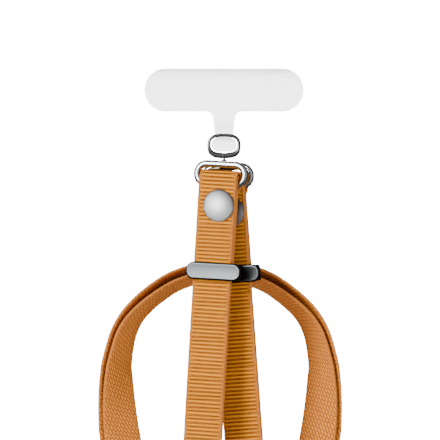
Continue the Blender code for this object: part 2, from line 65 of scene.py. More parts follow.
class Side(Enum):
    """The front tail of the strap and the one behind it."""

    FRONT = -1.0
    BACK = 1.0


# Node trees


def plug(tree: bpy.types.NodeTree, slot: bpy.types.NodeSocket, value: object) -> None:
    """Link a socket to a node's input, or set the input to a plain value."""
    if isinstance(value, bpy.types.NodeSocket):
        tree.links.new(value, slot)
    else:
        slot.default_value = value


class ShaderBuilder:
    """Builds a procedural material round one Principled shader."""

    def __init__(self, name: str) -> None:
        """Start a material of that name with its Principled shader."""
        self.material = bpy.data.materials.new(name)
        self.material.use_nodes = True
        self.tree = self.material.node_tree
        self.shader = self.tree.nodes["Principled BSDF"]

    @classmethod
    def for_tree(cls, tree: bpy.types.NodeTree) -> "ShaderBuilder":
        """Return a builder that adds nodes to another tree, such as the world's."""
        build = cls.__new__(cls)
        build.tree = tree
        return build

    def node(self, kind: str, **settings: object) -> bpy.types.Node:
        """Add a node.

        Args:
            kind: The node's type name.
            settings: Properties of the node, or default values of its inputs
                when the name is that of an input with spaces as underscores.

        Returns:
            The new node.
        """
        node = self.tree.nodes.new(kind)
        for key, value in settings.items():
            if hasattr(node, key):
                setattr(node, key, value)
            else:
                node.inputs[key.replace("_", " ")].default_value = value
        return node

    def link(self, source: bpy.types.NodeSocket, target: bpy.types.NodeSocket) -> None:
        """Link one socket to another."""
        self.tree.links.new(source, target)

    def math(self, operation: str, *values: object) -> bpy.types.NodeSocket:
        """Add a math node.

        Args:
            operation: The node's operation.
            values: A socket or a number for each of its inputs in turn.

        Returns:
            The result's socket.
        """
        node = self.node("ShaderNodeMath", operation=operation)
        for slot, value in zip(node.inputs, values):
            plug(self.tree, slot, value)
        return node.outputs[0]

    def mix(self, share: bpy.types.NodeSocket, first: object, second: object) -> bpy.types.NodeSocket:
        """Mix two colours.

        Args:
            share: How much of the second colour shows.
            first: A colour or a socket.
            second: A colour or a socket.

        Returns:
            The mixed colour's socket.
        """
        node = self.node("ShaderNodeMix", data_type="RGBA")
        self.link(share, node.inputs["Factor"])
        for slot, value in zip((node.inputs[6], node.inputs[7]), (first, second)):
            plug(self.tree, slot, value if isinstance(value, bpy.types.NodeSocket) else (*value, 1.0))
        return node.outputs[2]

    def set_shader(self, **values: object) -> None:
        """Set the shader's inputs by name, with underscores for spaces."""
        for key, value in values.items():
            self.shader.inputs[key.replace("_", " ")].default_value = value

    def place(self) -> bpy.types.NodeSocket:
        """Return the socket of the place in the piece's own space."""
        return self.node("ShaderNodeTexCoord").outputs["Object"]

    def noise(self, scale: float, detail: float = 2.0) -> bpy.types.NodeSocket:
        """Return a noise from 0 to 1 over the piece's own space."""
        node = self.node("ShaderNodeTexNoise", Scale=scale, Detail=detail)
        self.link(self.place(), node.inputs["Vector"])
        return node.outputs["Fac"]

    def attribute(self, name: str) -> bpy.types.NodeSocket:
        """Return the socket of a named number on the mesh."""
        return self.node("ShaderNodeAttribute", attribute_name=name).outputs["Fac"]

    def paint(self, share: bpy.types.NodeSocket, first: Colour, second: Colour) -> None:
        """Colour the shader between two colours, by a share that is held from 0 to 1."""
        clamp = self.node("ShaderNodeClamp")
        self.link(share, clamp.inputs[0])
        self.link(self.mix(clamp.outputs[0], first, second), self.shader.inputs["Base Color"])

    def uv(self) -> tuple[bpy.types.NodeSocket, bpy.types.NodeSocket]:
        """Return the sockets of the piece's own two surface coordinates, in metres."""
        split = self.node("ShaderNodeSeparateXYZ")
        self.link(self.node("ShaderNodeUVMap", uv_map="UVMap").outputs["UV"], split.inputs[0])
        return split.outputs[0], split.outputs[1]

    def wave(self, phase: bpy.types.NodeSocket, pitch: float) -> bpy.types.NodeSocket:
        """Return a wave from 0 to 1 that repeats every pitch metres."""
        turn = self.math("MULTIPLY", phase, 2.0 * math.pi / pitch)
        return self.math("MULTIPLY_ADD", self.math("SINE", turn), 0.5, 0.5)

    def bump(self, height: bpy.types.NodeSocket, depth: float, strength: float = 1.0) -> None:
        """Put a bump of that depth, in metres, on the shader's normal."""
        node = self.node("ShaderNodeBump", Strength=strength, Distance=depth)
        self.link(height, node.inputs["Height"])
        self.link(node.outputs["Normal"], self.shader.inputs["Normal"])


class TreeBuilder:
    """Builds a Geometry Nodes tree with named inputs."""

    def __init__(self, name: str) -> None:
        """Start a tree with a geometry in and out."""
        self.tree = bpy.data.node_groups.new(name, "GeometryNodeTree")
        self.sockets: dict[str, str] = {}
        self.tree.interface.new_socket("Geometry", in_out="INPUT", socket_type="NodeSocketGeometry")
        self.tree.interface.new_socket("Geometry", in_out="OUTPUT", socket_type="NodeSocketGeometry")
        self.inputs = self.tree.nodes.new("NodeGroupInput")
        self.outputs = self.tree.nodes.new("NodeGroupOutput")

    def add_input(self, name: str, kind: str) -> bpy.types.NodeSocket:
        """Add a named input.

        Args:
            name: The input's name.
            kind: The end of the socket's type name, such as Float.

        Returns:
            The socket that gives the input inside the tree.
        """
        item = self.tree.interface.new_socket(name, in_out="INPUT", socket_type="NodeSocket" + kind)
        self.sockets[name] = item.identifier
        return self.inputs.outputs[name]

    def node(self, kind: str, links: Optional[dict[object, object]] = None,
             **settings: object) -> bpy.types.Node:
        """Add a node.

        Args:
            kind: The node's type name.
            links: Input name or number to a socket, or to a plain value.
            settings: Properties of the node.

        Returns:
            The new node.
        """
        node = self.tree.nodes.new(kind)
        for key, value in settings.items():
            setattr(node, key, value)
        for key, value in (links or {}).items():
            plug(self.tree, node.inputs[key], value)
        return node

    def attribute(self, name: str) -> bpy.types.NodeSocket:
        """Return the socket of a named vector attribute of the path."""
        return self.node("GeometryNodeInputNamedAttribute", {"Name": name},
                         data_type="FLOAT_VECTOR").outputs["Attribute"]

    def random(self, reach: float, seed: object, factor: object) -> bpy.types.NodeSocket:
        """Return a random number for each point.

        Args:
            reach: The number lies between minus and plus this.
            seed: The seed's socket.
            factor: The socket that the number is multiplied by.

        Returns:
            The result's socket.
        """
        draw = self.node("FunctionNodeRandomValue", {"Min": -reach, "Max": reach, "Seed": seed},
                         data_type="FLOAT")
        drawn = next(slot for slot in draw.outputs if slot.enabled)
        return self.node("ShaderNodeMath", {0: drawn, 1: factor}, operation="MULTIPLY").outputs[0]

    def finish(self, geometry: bpy.types.NodeSocket, material: bpy.types.NodeSocket) -> None:
        """Realize the instances, give them the material and end the tree."""
        real = self.node("GeometryNodeRealizeInstances", {"Geometry": geometry})
        dressed = self.node("GeometryNodeSetMaterial",
                            {"Geometry": real.outputs["Geometry"], "Material": material})
        self.tree.links.new(dressed.outputs["Geometry"], self.outputs.inputs["Geometry"])


# Mesh helpers


def add_object(name: str, data: Optional[bpy.types.ID]) -> bpy.types.Object:
    """Return a new object of that data in the scene."""
    item = bpy.data.objects.new(name, data)
    bpy.context.scene.collection.objects.link(item)
    return item


def smooth(mesh: bpy.types.Mesh, angle: float) -> None:
    """Shade a mesh smooth, but leave edges sharp beyond an angle in degrees."""
    mesh.shade_smooth()
    mesh.set_sharp_from_angle(angle=math.radians(angle))


def new_piece(name: str, bm: bmesh.types.BMesh, material: bpy.types.Material,
              smooth_angle: float = 40.0) -> bpy.types.Object:
    """Turn a bmesh into a piece with its material.

    Args:
        name: The piece's name.
        bm: The bmesh, which is freed.
        material: The piece's material.
        smooth_angle: Edges sharper than this, in degrees, stay sharp.

    Returns:
        The new object.
    """
    mesh = bpy.data.meshes.new(name)
    bm.to_mesh(mesh)
    bm.free()
    mesh.materials.append(material)
    smooth(mesh, smooth_angle)
    return add_object(name, mesh)


def loft(rings: Sequence[Ring], closed: bool = False) -> bmesh.types.BMesh:
    """Skin equal rings of points, with end caps unless closed.

    Args:
        rings: Rings with the same number of points each.
        closed: Whether the last ring meets the first.

    Returns:
        A closed body with its faces pointing out.
    """
    bm = bmesh.new()
    rows = [[bm.verts.new(point) for point in ring] for ring in rings]
    pairs = list(zip(rows, rows[1:]))
    if closed:
        pairs.append((rows[-1], rows[0]))
    for near, far in pairs:
        for i, corner in enumerate(near):
            j = (i + 1) % len(near)
            bm.faces.new((corner, near[j], far[j], far[i]))
    if not closed:
        bm.faces.new(rows[0])
        bm.faces.new(list(reversed(rows[-1])))
    bmesh.ops.recalc_face_normals(bm, faces=bm.faces)
    return bm


def cut_or_join(piece: bpy.types.Object, other: bpy.types.Object, operation: str) -> None:
    """Apply one exact Boolean to a piece and remove the other object.

    Args:
        piece: The object that is changed.
        other: The cutter, or what is joined on.
        operation: UNION or DIFFERENCE.
    """
    modifier = piece.modifiers.new("solid", "BOOLEAN")
    modifier.operation = operation
    modifier.solver = "EXACT"
    modifier.object = other
    replace_mesh(piece)
    bpy.data.objects.remove(other, do_unlink=True)


def replace_mesh(piece: bpy.types.Object) -> None:
    """Turn what a piece's modifiers make into its own plain mesh."""
    bpy.context.view_layer.update()
    graph = bpy.context.evaluated_depsgraph_get()
    mesh = bpy.data.meshes.new_from_object(piece.evaluated_get(graph))
    piece.modifiers.clear()
    piece.data = mesh


def dress(piece: bpy.types.Object, body: Body, slot: str, *nodes: str) -> bpy.types.Object:
    """Give a piece its body and hide the frame's nodes that it stands for.

    Args:
        piece: The finished piece.
        body: The body that it rides on.
        slot: The record's material slot; not used.
        nodes: The frame's nodes that it replaces.

    Returns:
        The same piece.
    """
    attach(piece, body.value)
    if nodes:
        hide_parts(*nodes)
    LOG.info("%s: %d faces", piece.name, len(piece.data.polygons))
    return piece


def oval(angle: float, half_width: float, half_height: float, squareness: float) -> tuple[float, float]:
    """Return a point of a rounded oval.

    Args:
        angle: The angle round its middle, in radians.
        half_width: Half its first size.
        half_height: Half its second size.
        squareness: 2 for an ellipse, more for squarer shoulders.

    Returns:
        Its two coordinates.
    """
    c, s = math.cos(angle), math.sin(angle)
    return (math.copysign(abs(c) ** (2.0 / squareness), c) * half_width,
            math.copysign(abs(s) ** (2.0 / squareness), s) * half_height)


def section(centre: Vector, across: Vector, along: Vector, half_across: float,
            half_along: float, squareness: float, count: int) -> Ring:
    """Return a closed rounded section in the plane of two directions."""
    points = []
    for i in range(count):
        x, y = oval(2.0 * math.pi * (i + 0.5) / count, half_across, half_along, squareness)
        points.append(centre + across * x + along * y)
    return points


def ease(share: float) -> float:
    """Ease a share from 0 to 1."""
    share = min(max(share, 0.0), 1.0)
    return share * share * (3.0 - 2.0 * share)


def quarter_turns(steps: int) -> Iterable[tuple[float, float]]:
    """Yield (cosine, sine) from 0 to 90 degrees."""
    for i in range(steps + 1):
        turn = 0.5 * math.pi * i / steps
        yield math.cos(turn), math.sin(turn)


# Finishes


@dataclass(frozen=True)
class Metal:
    """A plated metal: its colour, its gloss, the fine grain of its plating and an optional painted shade and
    highlight across a piece.
    """

    name: str
    colour: Colour
    roughness: float
    grain: float
    grain_pitch: float = 0.25 * MM
    # The share of the colour that is kept where shade is painted; 1 paints no shade.
    painted_shade_level: float = 1.0
    edge_tint: float = 0.35
    cloud_scale: float = 160.0
    cloud_shade: float = 0.86
    least_roughness: float = 0.82
    roughness_spread: float = 0.35

    def material(self) -> bpy.types.Material:
        """Return the metal's material."""
        build = ShaderBuilder(self.name)
        build.set_shader(Metallic=1.0, Specular_Tint=(*(self.edge_tint,) * 3, 1.0))
        fine = build.noise(1.0 / self.grain_pitch, 3.0)
        darker = tuple(self.cloud_shade * c for c in self.colour)
        colour = build.mix(build.noise(self.cloud_scale), darker, self.colour)
        # Painted light: below a shade level of 1 the colour darkens to painted shade where the mesh's share
        # attribute is 0 and stays full, a painted highlight, where it is 1. A piece without that attribute
        # takes the dark end all over.
        if self.painted_shade_level < 1.0:
            colour = build.mix(build.attribute("painted_light_share"), tuple(self.painted_shade_level * c for c in self.colour), colour)
        build.link(colour, build.shader.inputs["Base Color"])
        spread = build.math("MULTIPLY", fine, self.roughness * self.roughness_spread)
        build.link(build.math("ADD", spread, self.roughness * self.least_roughness),
                   build.shader.inputs["Roughness"])
        build.bump(fine, self.grain)
        return build.material


@dataclass(frozen=True)
class Film:
    """The tab's milky film with a fine woven grid inside and painted shade on its side edges."""

    name: str
    colour: Colour
    thread_colour: Colour
    pitch: float = 0.62 * MM
    thinness: float = 5.0
    cloud_scale: float = 90.0
    roughness: float = 0.45
    transmission: float = 0.55
    refraction: float = 1.35
    relief: float = 0.012 * MM
    relief_strength: float = 0.6

    def material(self) -> bpy.types.Material:
        """Return the film's material."""
        build = ShaderBuilder(self.name)
        build.set_shader(Roughness=self.roughness, Transmission_Weight=self.transmission,
                         IOR=self.refraction)
        split = build.node("ShaderNodeSeparateXYZ")
        build.link(build.place(), split.inputs[0])
        threads = [build.math("POWER", build.wave(split.outputs[axis], self.pitch), self.thinness)
                   for axis in (0, 2)]
        weave = build.math("MAXIMUM", *threads)
        # The rim attribute paints the film's side edges in the darker thread colour, a painted shade of the
        # edges.
        shown = build.math("MAXIMUM", build.math("MULTIPLY", weave, build.noise(self.cloud_scale)),
                           build.attribute("rim"))
        build.link(build.mix(shown, self.colour, self.thread_colour), build.shader.inputs["Base Color"])
        build.bump(weave, self.relief, self.relief_strength)
        return build.material


@dataclass(frozen=True)
class Yarn:
    """A dull dyed yarn with a faint warm sheen and fine flecks."""

    name: str
    light: Colour
    dark: Colour

    def start(self, roughness: float, sheen_roughness: float, sheen_blue: float,
              fleck_scale: float) -> tuple[ShaderBuilder, bpy.types.NodeSocket, bpy.types.NodeSocket]:
        """Start the yarn's material.

        Args:
            roughness: The yarn's roughness.
            sheen_roughness: The roughness of its sheen.
            sheen_blue: The blue in the colour of its sheen.
            fleck_scale: The scale of its flecks.

        Returns:
            The builder, the noise of the flecks from 0 to 1, and their shade round 0.
        """
        build = ShaderBuilder(self.name)
        build.set_shader(Roughness=roughness, Specular_IOR_Level=0.03, Sheen_Weight=0.06,
                         Sheen_Roughness=sheen_roughness, Sheen_Tint=(1.0, 0.42, sheen_blue, 1.0))
        noise = build.noise(fleck_scale)
        return build, noise, build.math("MULTIPLY", build.math("SUBTRACT", noise, 0.5), 0.5)


@dataclass(frozen=True)
class RibYarn(Yarn):
    """The dyed yarn of the cross ribs, with the warp threads that hold them, and painted shade in the grooves
    between ribs.
    """

    thread_pitch: float
    half_rib: float
    thread_slant: float = 0.75
    groove_sharpness: float = 1.8
    gap_sharpness: float = 2.0
    gap_shade: float = 0.95
    relief: float = 0.07 * MM

    def material(self) -> bpy.types.Material:
        """Return the rib yarn's material."""
        build, noise, fleck = self.start(0.72, 0.4, 0.08, 2600.0)
        across, around = build.uv()
        thread = build.wave(build.math("MULTIPLY_ADD", around, self.thread_slant, across), self.thread_pitch)
        # Painted shade: each rib darkens towards its edges into the dark colour, the shade of the grooves
        # between ribs; the gaps between warp threads darken too.
        side = build.math("DIVIDE", build.math("ABSOLUTE", around), self.half_rib)
        depth = build.math("POWER", build.math("MINIMUM", side, 1.0), self.groove_sharpness)
        gap = build.math("MULTIPLY", build.math("POWER", build.math("SUBTRACT", 1.0, thread),
                                                self.gap_sharpness), self.gap_shade)
        shade = build.math("ADD", fleck, build.attribute("shade"))
        build.paint(build.math("ADD", build.math("ADD", depth, gap), shade), self.light, self.dark)
        build.bump(build.math("ADD", thread, build.math("MULTIPLY", noise, 0.5)), self.relief)
        return build.material


@dataclass(frozen=True)
class TwillYarn(Yarn):
    """The flat twill side of the webbing, in short staggered slanting floats."""

    float_length: float
    float_width: float
    slant: float
    gap_share: float = 0.24
    relief: float = 0.08 * MM

    def material(self) -> bpy.types.Material:
        """Return the twill's material."""
        build, noise, fleck = self.start(0.78, 0.45, 0.10, 2200.0)
        place = build.node("ShaderNodeMapping", Rotation=(0.0, 0.0, self.slant), Scale=(1.0 / MM,) * 3)
        build.link(build.node("ShaderNodeUVMap", uv_map="UVMap").outputs["UV"], place.inputs["Vector"])
        brick = build.node("ShaderNodeTexBrick", offset=0.5, offset_frequency=2, Scale=1.0,
                           Color1=(1.0, 1.0, 1.0, 1.0), Color2=(0.85, 0.85, 0.85, 1.0),
                           Mortar=(0.0, 0.0, 0.0, 1.0), Mortar_Smooth=1.0,
                           Mortar_Size=self.float_width / MM * self.gap_share,
                           Brick_Width=self.float_length / MM, Row_Height=self.float_width / MM)
        build.link(place.outputs["Vector"], brick.inputs["Vector"])
        height = build.math("MULTIPLY", brick.outputs["Color"], 1.0)
        build.paint(build.math("ADD", height, fleck), self.dark, self.light)
        build.bump(build.math("ADD", height, build.math("MULTIPLY", noise, 0.4)), self.relief)
        return build.material


@dataclass(frozen=True)
class Finishes:
    """Every finish of the strap."""

    film: Film = Film("milky_film", (0.92, 0.92, 0.92), (0.66, 0.66, 0.67))
    gunmetal: Metal = Metal("polished_gunmetal", (0.20, 0.206, 0.212), 0.26, 0.0015 * MM, edge_tint=0.05)
    nickel: Metal = Metal("polished_nickel", (0.72, 0.74, 0.77), 0.09, 0.001 * MM)
    # The satin caps carry painted shade at their top right and a painted highlight at their lower left; the
    # sockets have no share and are painted dark all over.
    satin: Metal = Metal("satin_nickel", (0.95, 0.955, 0.97), 0.40, 0.004 * MM, painted_shade_level=0.10)
    face: Metal = Metal("slider_face", (0.105, 0.107, 0.112), 0.36, 0.004 * MM)
    # The bevel's near-black colour is a painted dark reflection of the polished bevel.
    edge: Metal = Metal("slider_bevel_painted_shade", (0.035, 0.042, 0.052), 0.24, 0.002 * MM)
    # The rib yarn's dark colour is painted shade, for the grooves between ribs.
    rib: RibYarn = RibYarn("rib_yarn", (1.0, 0.36, 0.02), (0.045, 0.012, 0.003), 0.80 * MM, 0.72 * MM)
    twill: TwillYarn = TwillYarn("twill_yarn", (0.68, 0.22, 0.035), (0.15, 0.04, 0.005),
                                 2.1 * MM, 1.15 * MM, math.radians(62.0))
    # The edge loops' yarn is painted darker than the ribs' as shade of the rounded selvedges; its grooves are
    # painted shade as well.
    edge_yarn_painted_shade: RibYarn = RibYarn("edge_yarn_painted_shade", (0.66, 0.23, 0.05), (0.30, 0.09, 0.012), 0.37 * MM, 0.6 * MM)


# Route of the webbing


class Station(NamedTuple):
    """A point of the route with the direction of the webbing's width."""

    point: Vector
    width: Vector


class Section(NamedTuple):
    """A square frame on the route: its point, width and hollow side."""

    point: Vector
    width: Vector
    hollow: Vector


class LegRow(NamedTuple):
    """A row of the arch: shares of its width, drop and depth, and its turn."""

    across: float
    down: float
    depth: float
    turn: float
    apart: float
    slip: float


class HiddenRow(NamedTuple):
    """A row of the turns below the view, with the heading of the width."""

    across: float
    down: float
    depth: float
    face: float
    apart: float


ARCH_ROWS = (
    LegRow(0.000, 0.000, 1.000, 14.0, 1.90, 0.00),
    LegRow(0.130, 0.004, 1.000, 14.4, 1.90, 0.00),
    LegRow(0.263, 0.014, 0.998, 15.2, 1.90, 0.00),
    LegRow(0.426, 0.040, 0.995, 16.5, 1.85, 0.00),
    LegRow(0.639, 0.098, 0.985, 20.0, 1.45, 0.00),
    LegRow(0.760, 0.160, 0.970, 27.5, 0.95, 0.20),
    LegRow(0.820, 0.244, 0.935, 35.5, 0.75, 0.50),
    LegRow(0.829, 0.296, 0.900, 44.0, 0.70, 0.55),
    LegRow(0.827, 0.357, 0.850, 52.5, 0.65, 0.60),
    LegRow(0.817, 0.406, 0.810, 58.5, 0.60, 0.80),
    LegRow(0.797, 0.462, 0.770, 63.2, 0.60, 0.95),
)
LEFT_TURN_ROWS = (
    HiddenRow(0.725, 0.600, 0.67, 20.0, 0.45),
    HiddenRow(0.620, 0.730, 0.62, 16.0, 0.45),
    HiddenRow(0.490, 0.855, 0.58, 13.0, 0.45),
    HiddenRow(0.395, 0.940, 0.42, 12.0, 0.45),
    HiddenRow(0.330, 0.990, 0.12, 10.0, 0.45),
    HiddenRow(0.285, 0.985, -0.22, 6.0, 0.45),
    HiddenRow(0.250, 0.925, -0.43, 0.0, 0.45),
    HiddenRow(0.225, 0.830, -0.46, -9.0, 0.40),
    HiddenRow(0.205, 0.700, -0.43, -17.0, 0.20),
)
RIGHT_TURN_ROWS = (
    HiddenRow(0.735, 0.600, 0.83, 20.0, 0.45),
    HiddenRow(0.650, 0.730, 0.93, 16.0, 0.45),
    HiddenRow(0.550, 0.860, 0.99, 16.0, 0.45),
    HiddenRow(0.450, 0.955, 0.88, 24.0, 0.45),
    HiddenRow(0.350, 1.000, 0.52, 32.0, 0.45),
    HiddenRow(0.303, 0.950, 0.19, 26.0, 0.45),
    HiddenRow(0.281, 0.840, 0.14, 21.0, 0.30),
)
TAIL_SHARES = (0.03, 0.08, 0.16, 0.26, 0.4, 0.7, 1.0)
RIB_ROWS = ((-1.0, 0.15), (-0.985, 0.6), (-0.93, 0.95), (-0.6, 1.0), (0.0, 1.0),
            (0.6, 1.0), (0.93, 0.95), (0.985, 0.6), (1.0, 0.15))
STEM_HEAD_ROWS = ((0.94, 0.0), (1.0, 0.2), (0.93, 0.6), (0.4, 1.0))


@dataclass(frozen=True)
class Hang:
    """Sizes of the strap side and how it hangs, the same as the frame's."""

    fit: float = 0.3 * MM
    layer_gap: float = 0.25 * MM
    webbing_width: float = 15.4 * MM
    webbing: float = 1.2 * MM
    ring_width: float = 22.2 * MM
    ring_height: float = 10.5 * MM
    ring_wire: float = 2.8 * MM
    ring_wire_depth: float = 2.2 * MM
    ring_drop: float = 32.49 * MM
    back_wire_drop: float = 1.1 * MM
    turn: float = math.radians(-20.0)
    front_lean: float = math.radians(3.1)
    back_lean: float = math.radians(3.9)
    tail_spread: float = math.radians(1.6)
    tail_length: float = 108.0 * MM
    arch_half_width: float = 47.2 * MM
    arch_offset: float = -1.5 * MM
    arch_top_drop: float = 71.8 * MM
    loop_drop: float = 134.7 * MM
    arch_depth: float = 17.4 * MM
    fold_ease: float = 1.25
    snap_drop: float = 8.2 * MM
    back_snap_drop: float = 9.4 * MM
    snap_shift: float = 1.4 * MM
    socket: float = 8.6 * MM
    slider_drop: float = 33.5 * MM
    slider_height: float = 6.8 * MM
    slider_wall: float = 1.1 * MM
    slider_shift: float = 1.0 * MM

    @property
    def layer_step(self) -> float:
        """Return the distance between the middles of two layers."""
        return self.webbing + self.layer_gap

    @property
    def bar_rise(self) -> float:
        """Return how far a bar's centre lies from the ring's middle."""
        return (self.ring_height - self.ring_wire) / 2

    @property
    def inner_face(self) -> float:
        """Return how far the inner layer's middle lies in front of its bar."""
        return self.ring_wire_depth / 2 + self.fit + self.webbing / 2

    @property
    def bar_spacing(self) -> float:
        """Return the distance between the two bars."""
        return self.ring_wire_depth + 2 * self.fit + 3 * self.webbing + 2 * self.layer_gap

    @property
    def stack(self) -> float:
        """Return the depth of three layers that lie on each other."""
        return 3 * self.webbing + 2 * self.layer_gap

    @property
    def slot_depth(self) -> float:
        """Return the depth of a slider's slot."""
        return self.stack + 2 * self.fit

    @property
    def fold_rise(self) -> float:
        """Return how far the inner layer's middle passes above its bar's centre."""
        corner = self.ring_height / 2 - self.ring_wire
        beyond = self.webbing_width / 2 - (self.ring_width - self.ring_height) / 2
        lift = corner - math.sqrt(max(corner ** 2 - beyond ** 2, 0.0))
        return self.ring_wire / 2 + lift + self.fit + self.webbing / 2

    def axes(self) -> tuple[Vector, Vector]:
        """Return the strap side's own right and back directions."""
        c, s = math.cos(self.turn), math.sin(self.turn)
        return Vector((c, s, 0.0)), Vector((-s, c, 0.0))

    def lean_axes(self, lean: float) -> tuple[Vector, Vector]:
        """Return the right and up directions of a piece that leans in its plane."""
        right, _ = self.axes()
        up = Vector((0.0, 0.0, 1.0))
        return (right * math.cos(lean) - up * math.sin(lean),
                right * math.sin(lean) + up * math.cos(lean))

    def side_axes(self, side: Side) -> tuple[Vector, Vector]:
        """Return the right and up directions of a side's wire and tail."""
        return self.lean_axes(self.front_lean if side is Side.FRONT else -self.back_lean)

    def wire_centre(self, side: Side) -> Vector:
        """Return the middle of a side's oval wire."""
        drop = self.ring_drop + (self.back_wire_drop if side is Side.BACK else 0.0)
        return Vector((0.0, 0.0, -drop)) + self.axes()[1] * side.value * self.bar_spacing / 2

    def bar(self, side: Side) -> Vector:
        """Return the middle of a side's lower bar."""
        return self.wire_centre(side) - self.side_axes(side)[1] * self.bar_rise

    def tail_frame(self, side: Side, drop: float) -> tuple[Vector, Vector, Vector, Vector]:
        """Return a tail's middle point, right, down and back directions.

        Args:
            side: Which tail.
            drop: The distance below its bar.

        Returns:
            The point and three directions square to each other.
        """
        _, back = self.axes()
        right, up = self.side_axes(side)
        fall = back * side.value * math.tan(self.tail_spread) - up
        down = fall.normalized()
        return self.bar(side) + fall * drop, right, down, right.cross(down)


@dataclass(frozen=True)
class Route:
    """The way that both layers of webbing take, from the front bar to the back one."""

    hang: Hang
    steps: int = 12
    fold_steps: int = 36
    end_steps: int = 16
    settle_steps: int = 14
    free_share: float = 0.3

    def fold(self, side: Side, front: float, rear: float, rise: float,
             first: float, last: float) -> list[Station]:
        """Return stations over a bar.

        Args:
            side: Which bar.
            front: Depth of the webbing in front of the bar's centre.
            rear: Depth behind it.
            rise: Height above it.
            first: First turn in degrees: 0 is in front, 90 above, 180 behind.
            last: Last turn in degrees.

        Returns:
            The stations in order.
        """
        right, up = self.hang.side_axes(side)
        _, back = self.hang.axes()
        bar = self.hang.bar(side)
        stations = []
        for i in range(self.fold_steps + 1):
            turn = math.radians(first + (last - first) * i / self.fold_steps)
            y = (rear + front) / 2 - (rear - front) / 2 * math.cos(turn)
            stations.append(Station(bar + back * y + up * rise * math.sin(turn), right * -side.value))
        return stations

    def returned_end(self, side: Side) -> list[Station]:
        """Return stations of the outer layer's end, from the slider up to the bar."""
        hang = self.hang
        end_drop = hang.slider_drop + hang.slider_height / 2 - hang.slider_wall
        stack = -hang.inner_face + hang.layer_step
        start = hang.ring_wire * self.free_share
        settled = hang.snap_drop - hang.socket / 2 - hang.fit
        run = settled - start
        drops = [settled + (end_drop - settled) * (1.0 - i / self.end_steps) for i in range(self.end_steps)]
        drops += [start + run * (1.0 - i / self.settle_steps) for i in range(self.settle_steps + 1)]
        stations = []
        for drop in drops:
            point, right, _, back = hang.tail_frame(side, drop)
            y = hang.inner_face + (stack - hang.inner_face) * ease((drop - start) / run)
            stations.append(Station(point + back * y, right * -side.value))
        return stations

    def tail(self, side: Side) -> list[Station]:
        """Return the inner layer's stations down a tail, in front of its bar."""
        stations = []
        for share in TAIL_SHARES:
            point, right, _, back = self.hang.tail_frame(side, self.hang.tail_length * share)
            stations.append(Station(point - back * self.hang.inner_face, right * -side.value))
        return stations

    def leg_point(self, row: NamedTuple, side: Side) -> Vector:
        """Return the place that a row gives on one half of the loop."""
        hang = self.hang
        return Vector((hang.arch_offset + side.value * row.across * hang.arch_half_width,
                       row.depth * hang.arch_depth,
                       -hang.arch_top_drop - row.down * hang.loop_drop))

    def half(self, side: Side) -> tuple[list[Vector], list[Vector], list[Vector]]:
        """Return one half's points, width directions and stand-offs, from the arch's top down."""
        rows = ARCH_ROWS + (LEFT_TURN_ROWS if side is Side.FRONT else RIGHT_TURN_ROWS)
        points = [self.leg_point(row, side) for row in rows]
        depth = Vector((0.0, 1.0, 0.0))
        widths = []
        for i, row in enumerate(rows):
            if isinstance(row, HiddenRow):
                face = math.radians(row.face)
                widths.append(Vector((-side.value * math.cos(face), math.sin(face), 0.0)))
                continue
            behind = points[i - 1] if i else Vector((2 * self.hang.arch_offset - points[1].x,
                                                     points[1].y, points[1].z))
            inward = depth.cross((points[i + 1] - behind) * side.value).normalized()
            turn = math.radians(row.turn)
            widths.append(depth * math.cos(turn) + inward * math.sin(turn))
        offsets = [Vector((row.apart, getattr(row, "slip", 0.0), 0.0)) * self.hang.webbing for row in rows]
        return points, widths, offsets

    def spline(self, points: Sequence[Vector]) -> list[Vector]:
        """Return points on a smooth curve through a list of vectors."""
        result = []
        last = len(points) - 1
        for i in range(last):
            before, here = points[max(i - 1, 0)], points[i]
            there, after = points[i + 1], points[min(i + 2, last)]
            for k in range(self.steps):
                t = k / self.steps
                result.append(0.5 * (2.0 * here + (there - before) * t
                                     + (2.0 * before - 5.0 * here + 4.0 * there - after) * t ** 2
                                     + (3.0 * here - before - 3.0 * there + after) * t ** 3))
        result.append(points[last])
        return result

    def loop(self) -> tuple[list[Station], list[Vector]]:
        """Return the inner layer's stations and the outer layer's stand-offs.

        Returns:
            The stations from the front tail over the arch to the back tail,
            and for each how far the outer layer stands off and slides.
        """
        left, right = self.half(Side.FRONT), self.half(Side.BACK)
        front, rear = self.tail(Side.FRONT), list(reversed(self.tail(Side.BACK)))
        points = [s.point for s in front] + left[0][::-1] + right[0][1:] + [s.point for s in rear]
        widths = [s.width for s in front] + left[1][::-1] + right[1][1:] + [s.width for s in rear]
        still = [Vector() for _ in front]
        offsets = still + left[2][::-1] + right[2][1:] + still
        stations = [Station(p, w) for p, w in zip(self.spline(points), self.spline(widths))]
        return stations, self.spline(offsets)

    @staticmethod
    def sections(stations: Sequence[Station]) -> list[Section]:
        """Return the square frame at each station."""
        frames = []
        last = len(stations) - 1
        for i, station in enumerate(stations):
            along = (stations[min(i + 1, last)].point - stations[max(i - 1, 0)].point).normalized()
            width = (station.width - along * station.width.dot(along)).normalized()
            frames.append(Section(station.point, width, width.cross(along)))
        return frames

    def outer(self) -> list[Section]:
        """Return the outer layer's sections, with both of its folded ends."""
        hang = self.hang
        inner, offsets = self.loop()
        rise = hang.fold_rise + hang.layer_step * hang.fold_ease
        over = -hang.inner_face - hang.layer_step
        stations = self.returned_end(Side.FRONT)
        stations += self.fold(Side.FRONT, over, hang.inner_face, rise, 180.0, 0.0)[1:]
        for place, offset in zip(self.sections(inner), offsets):
            moved = place.point - place.hollow * (hang.layer_step + offset.x) - place.width * offset.y
            stations.append(Station(moved, place.width))
        stations += self.fold(Side.BACK, over, hang.inner_face, rise, 0.0, 180.0)
        stations += list(reversed(self.returned_end(Side.BACK)))[1:]
        return self.sections(stations)

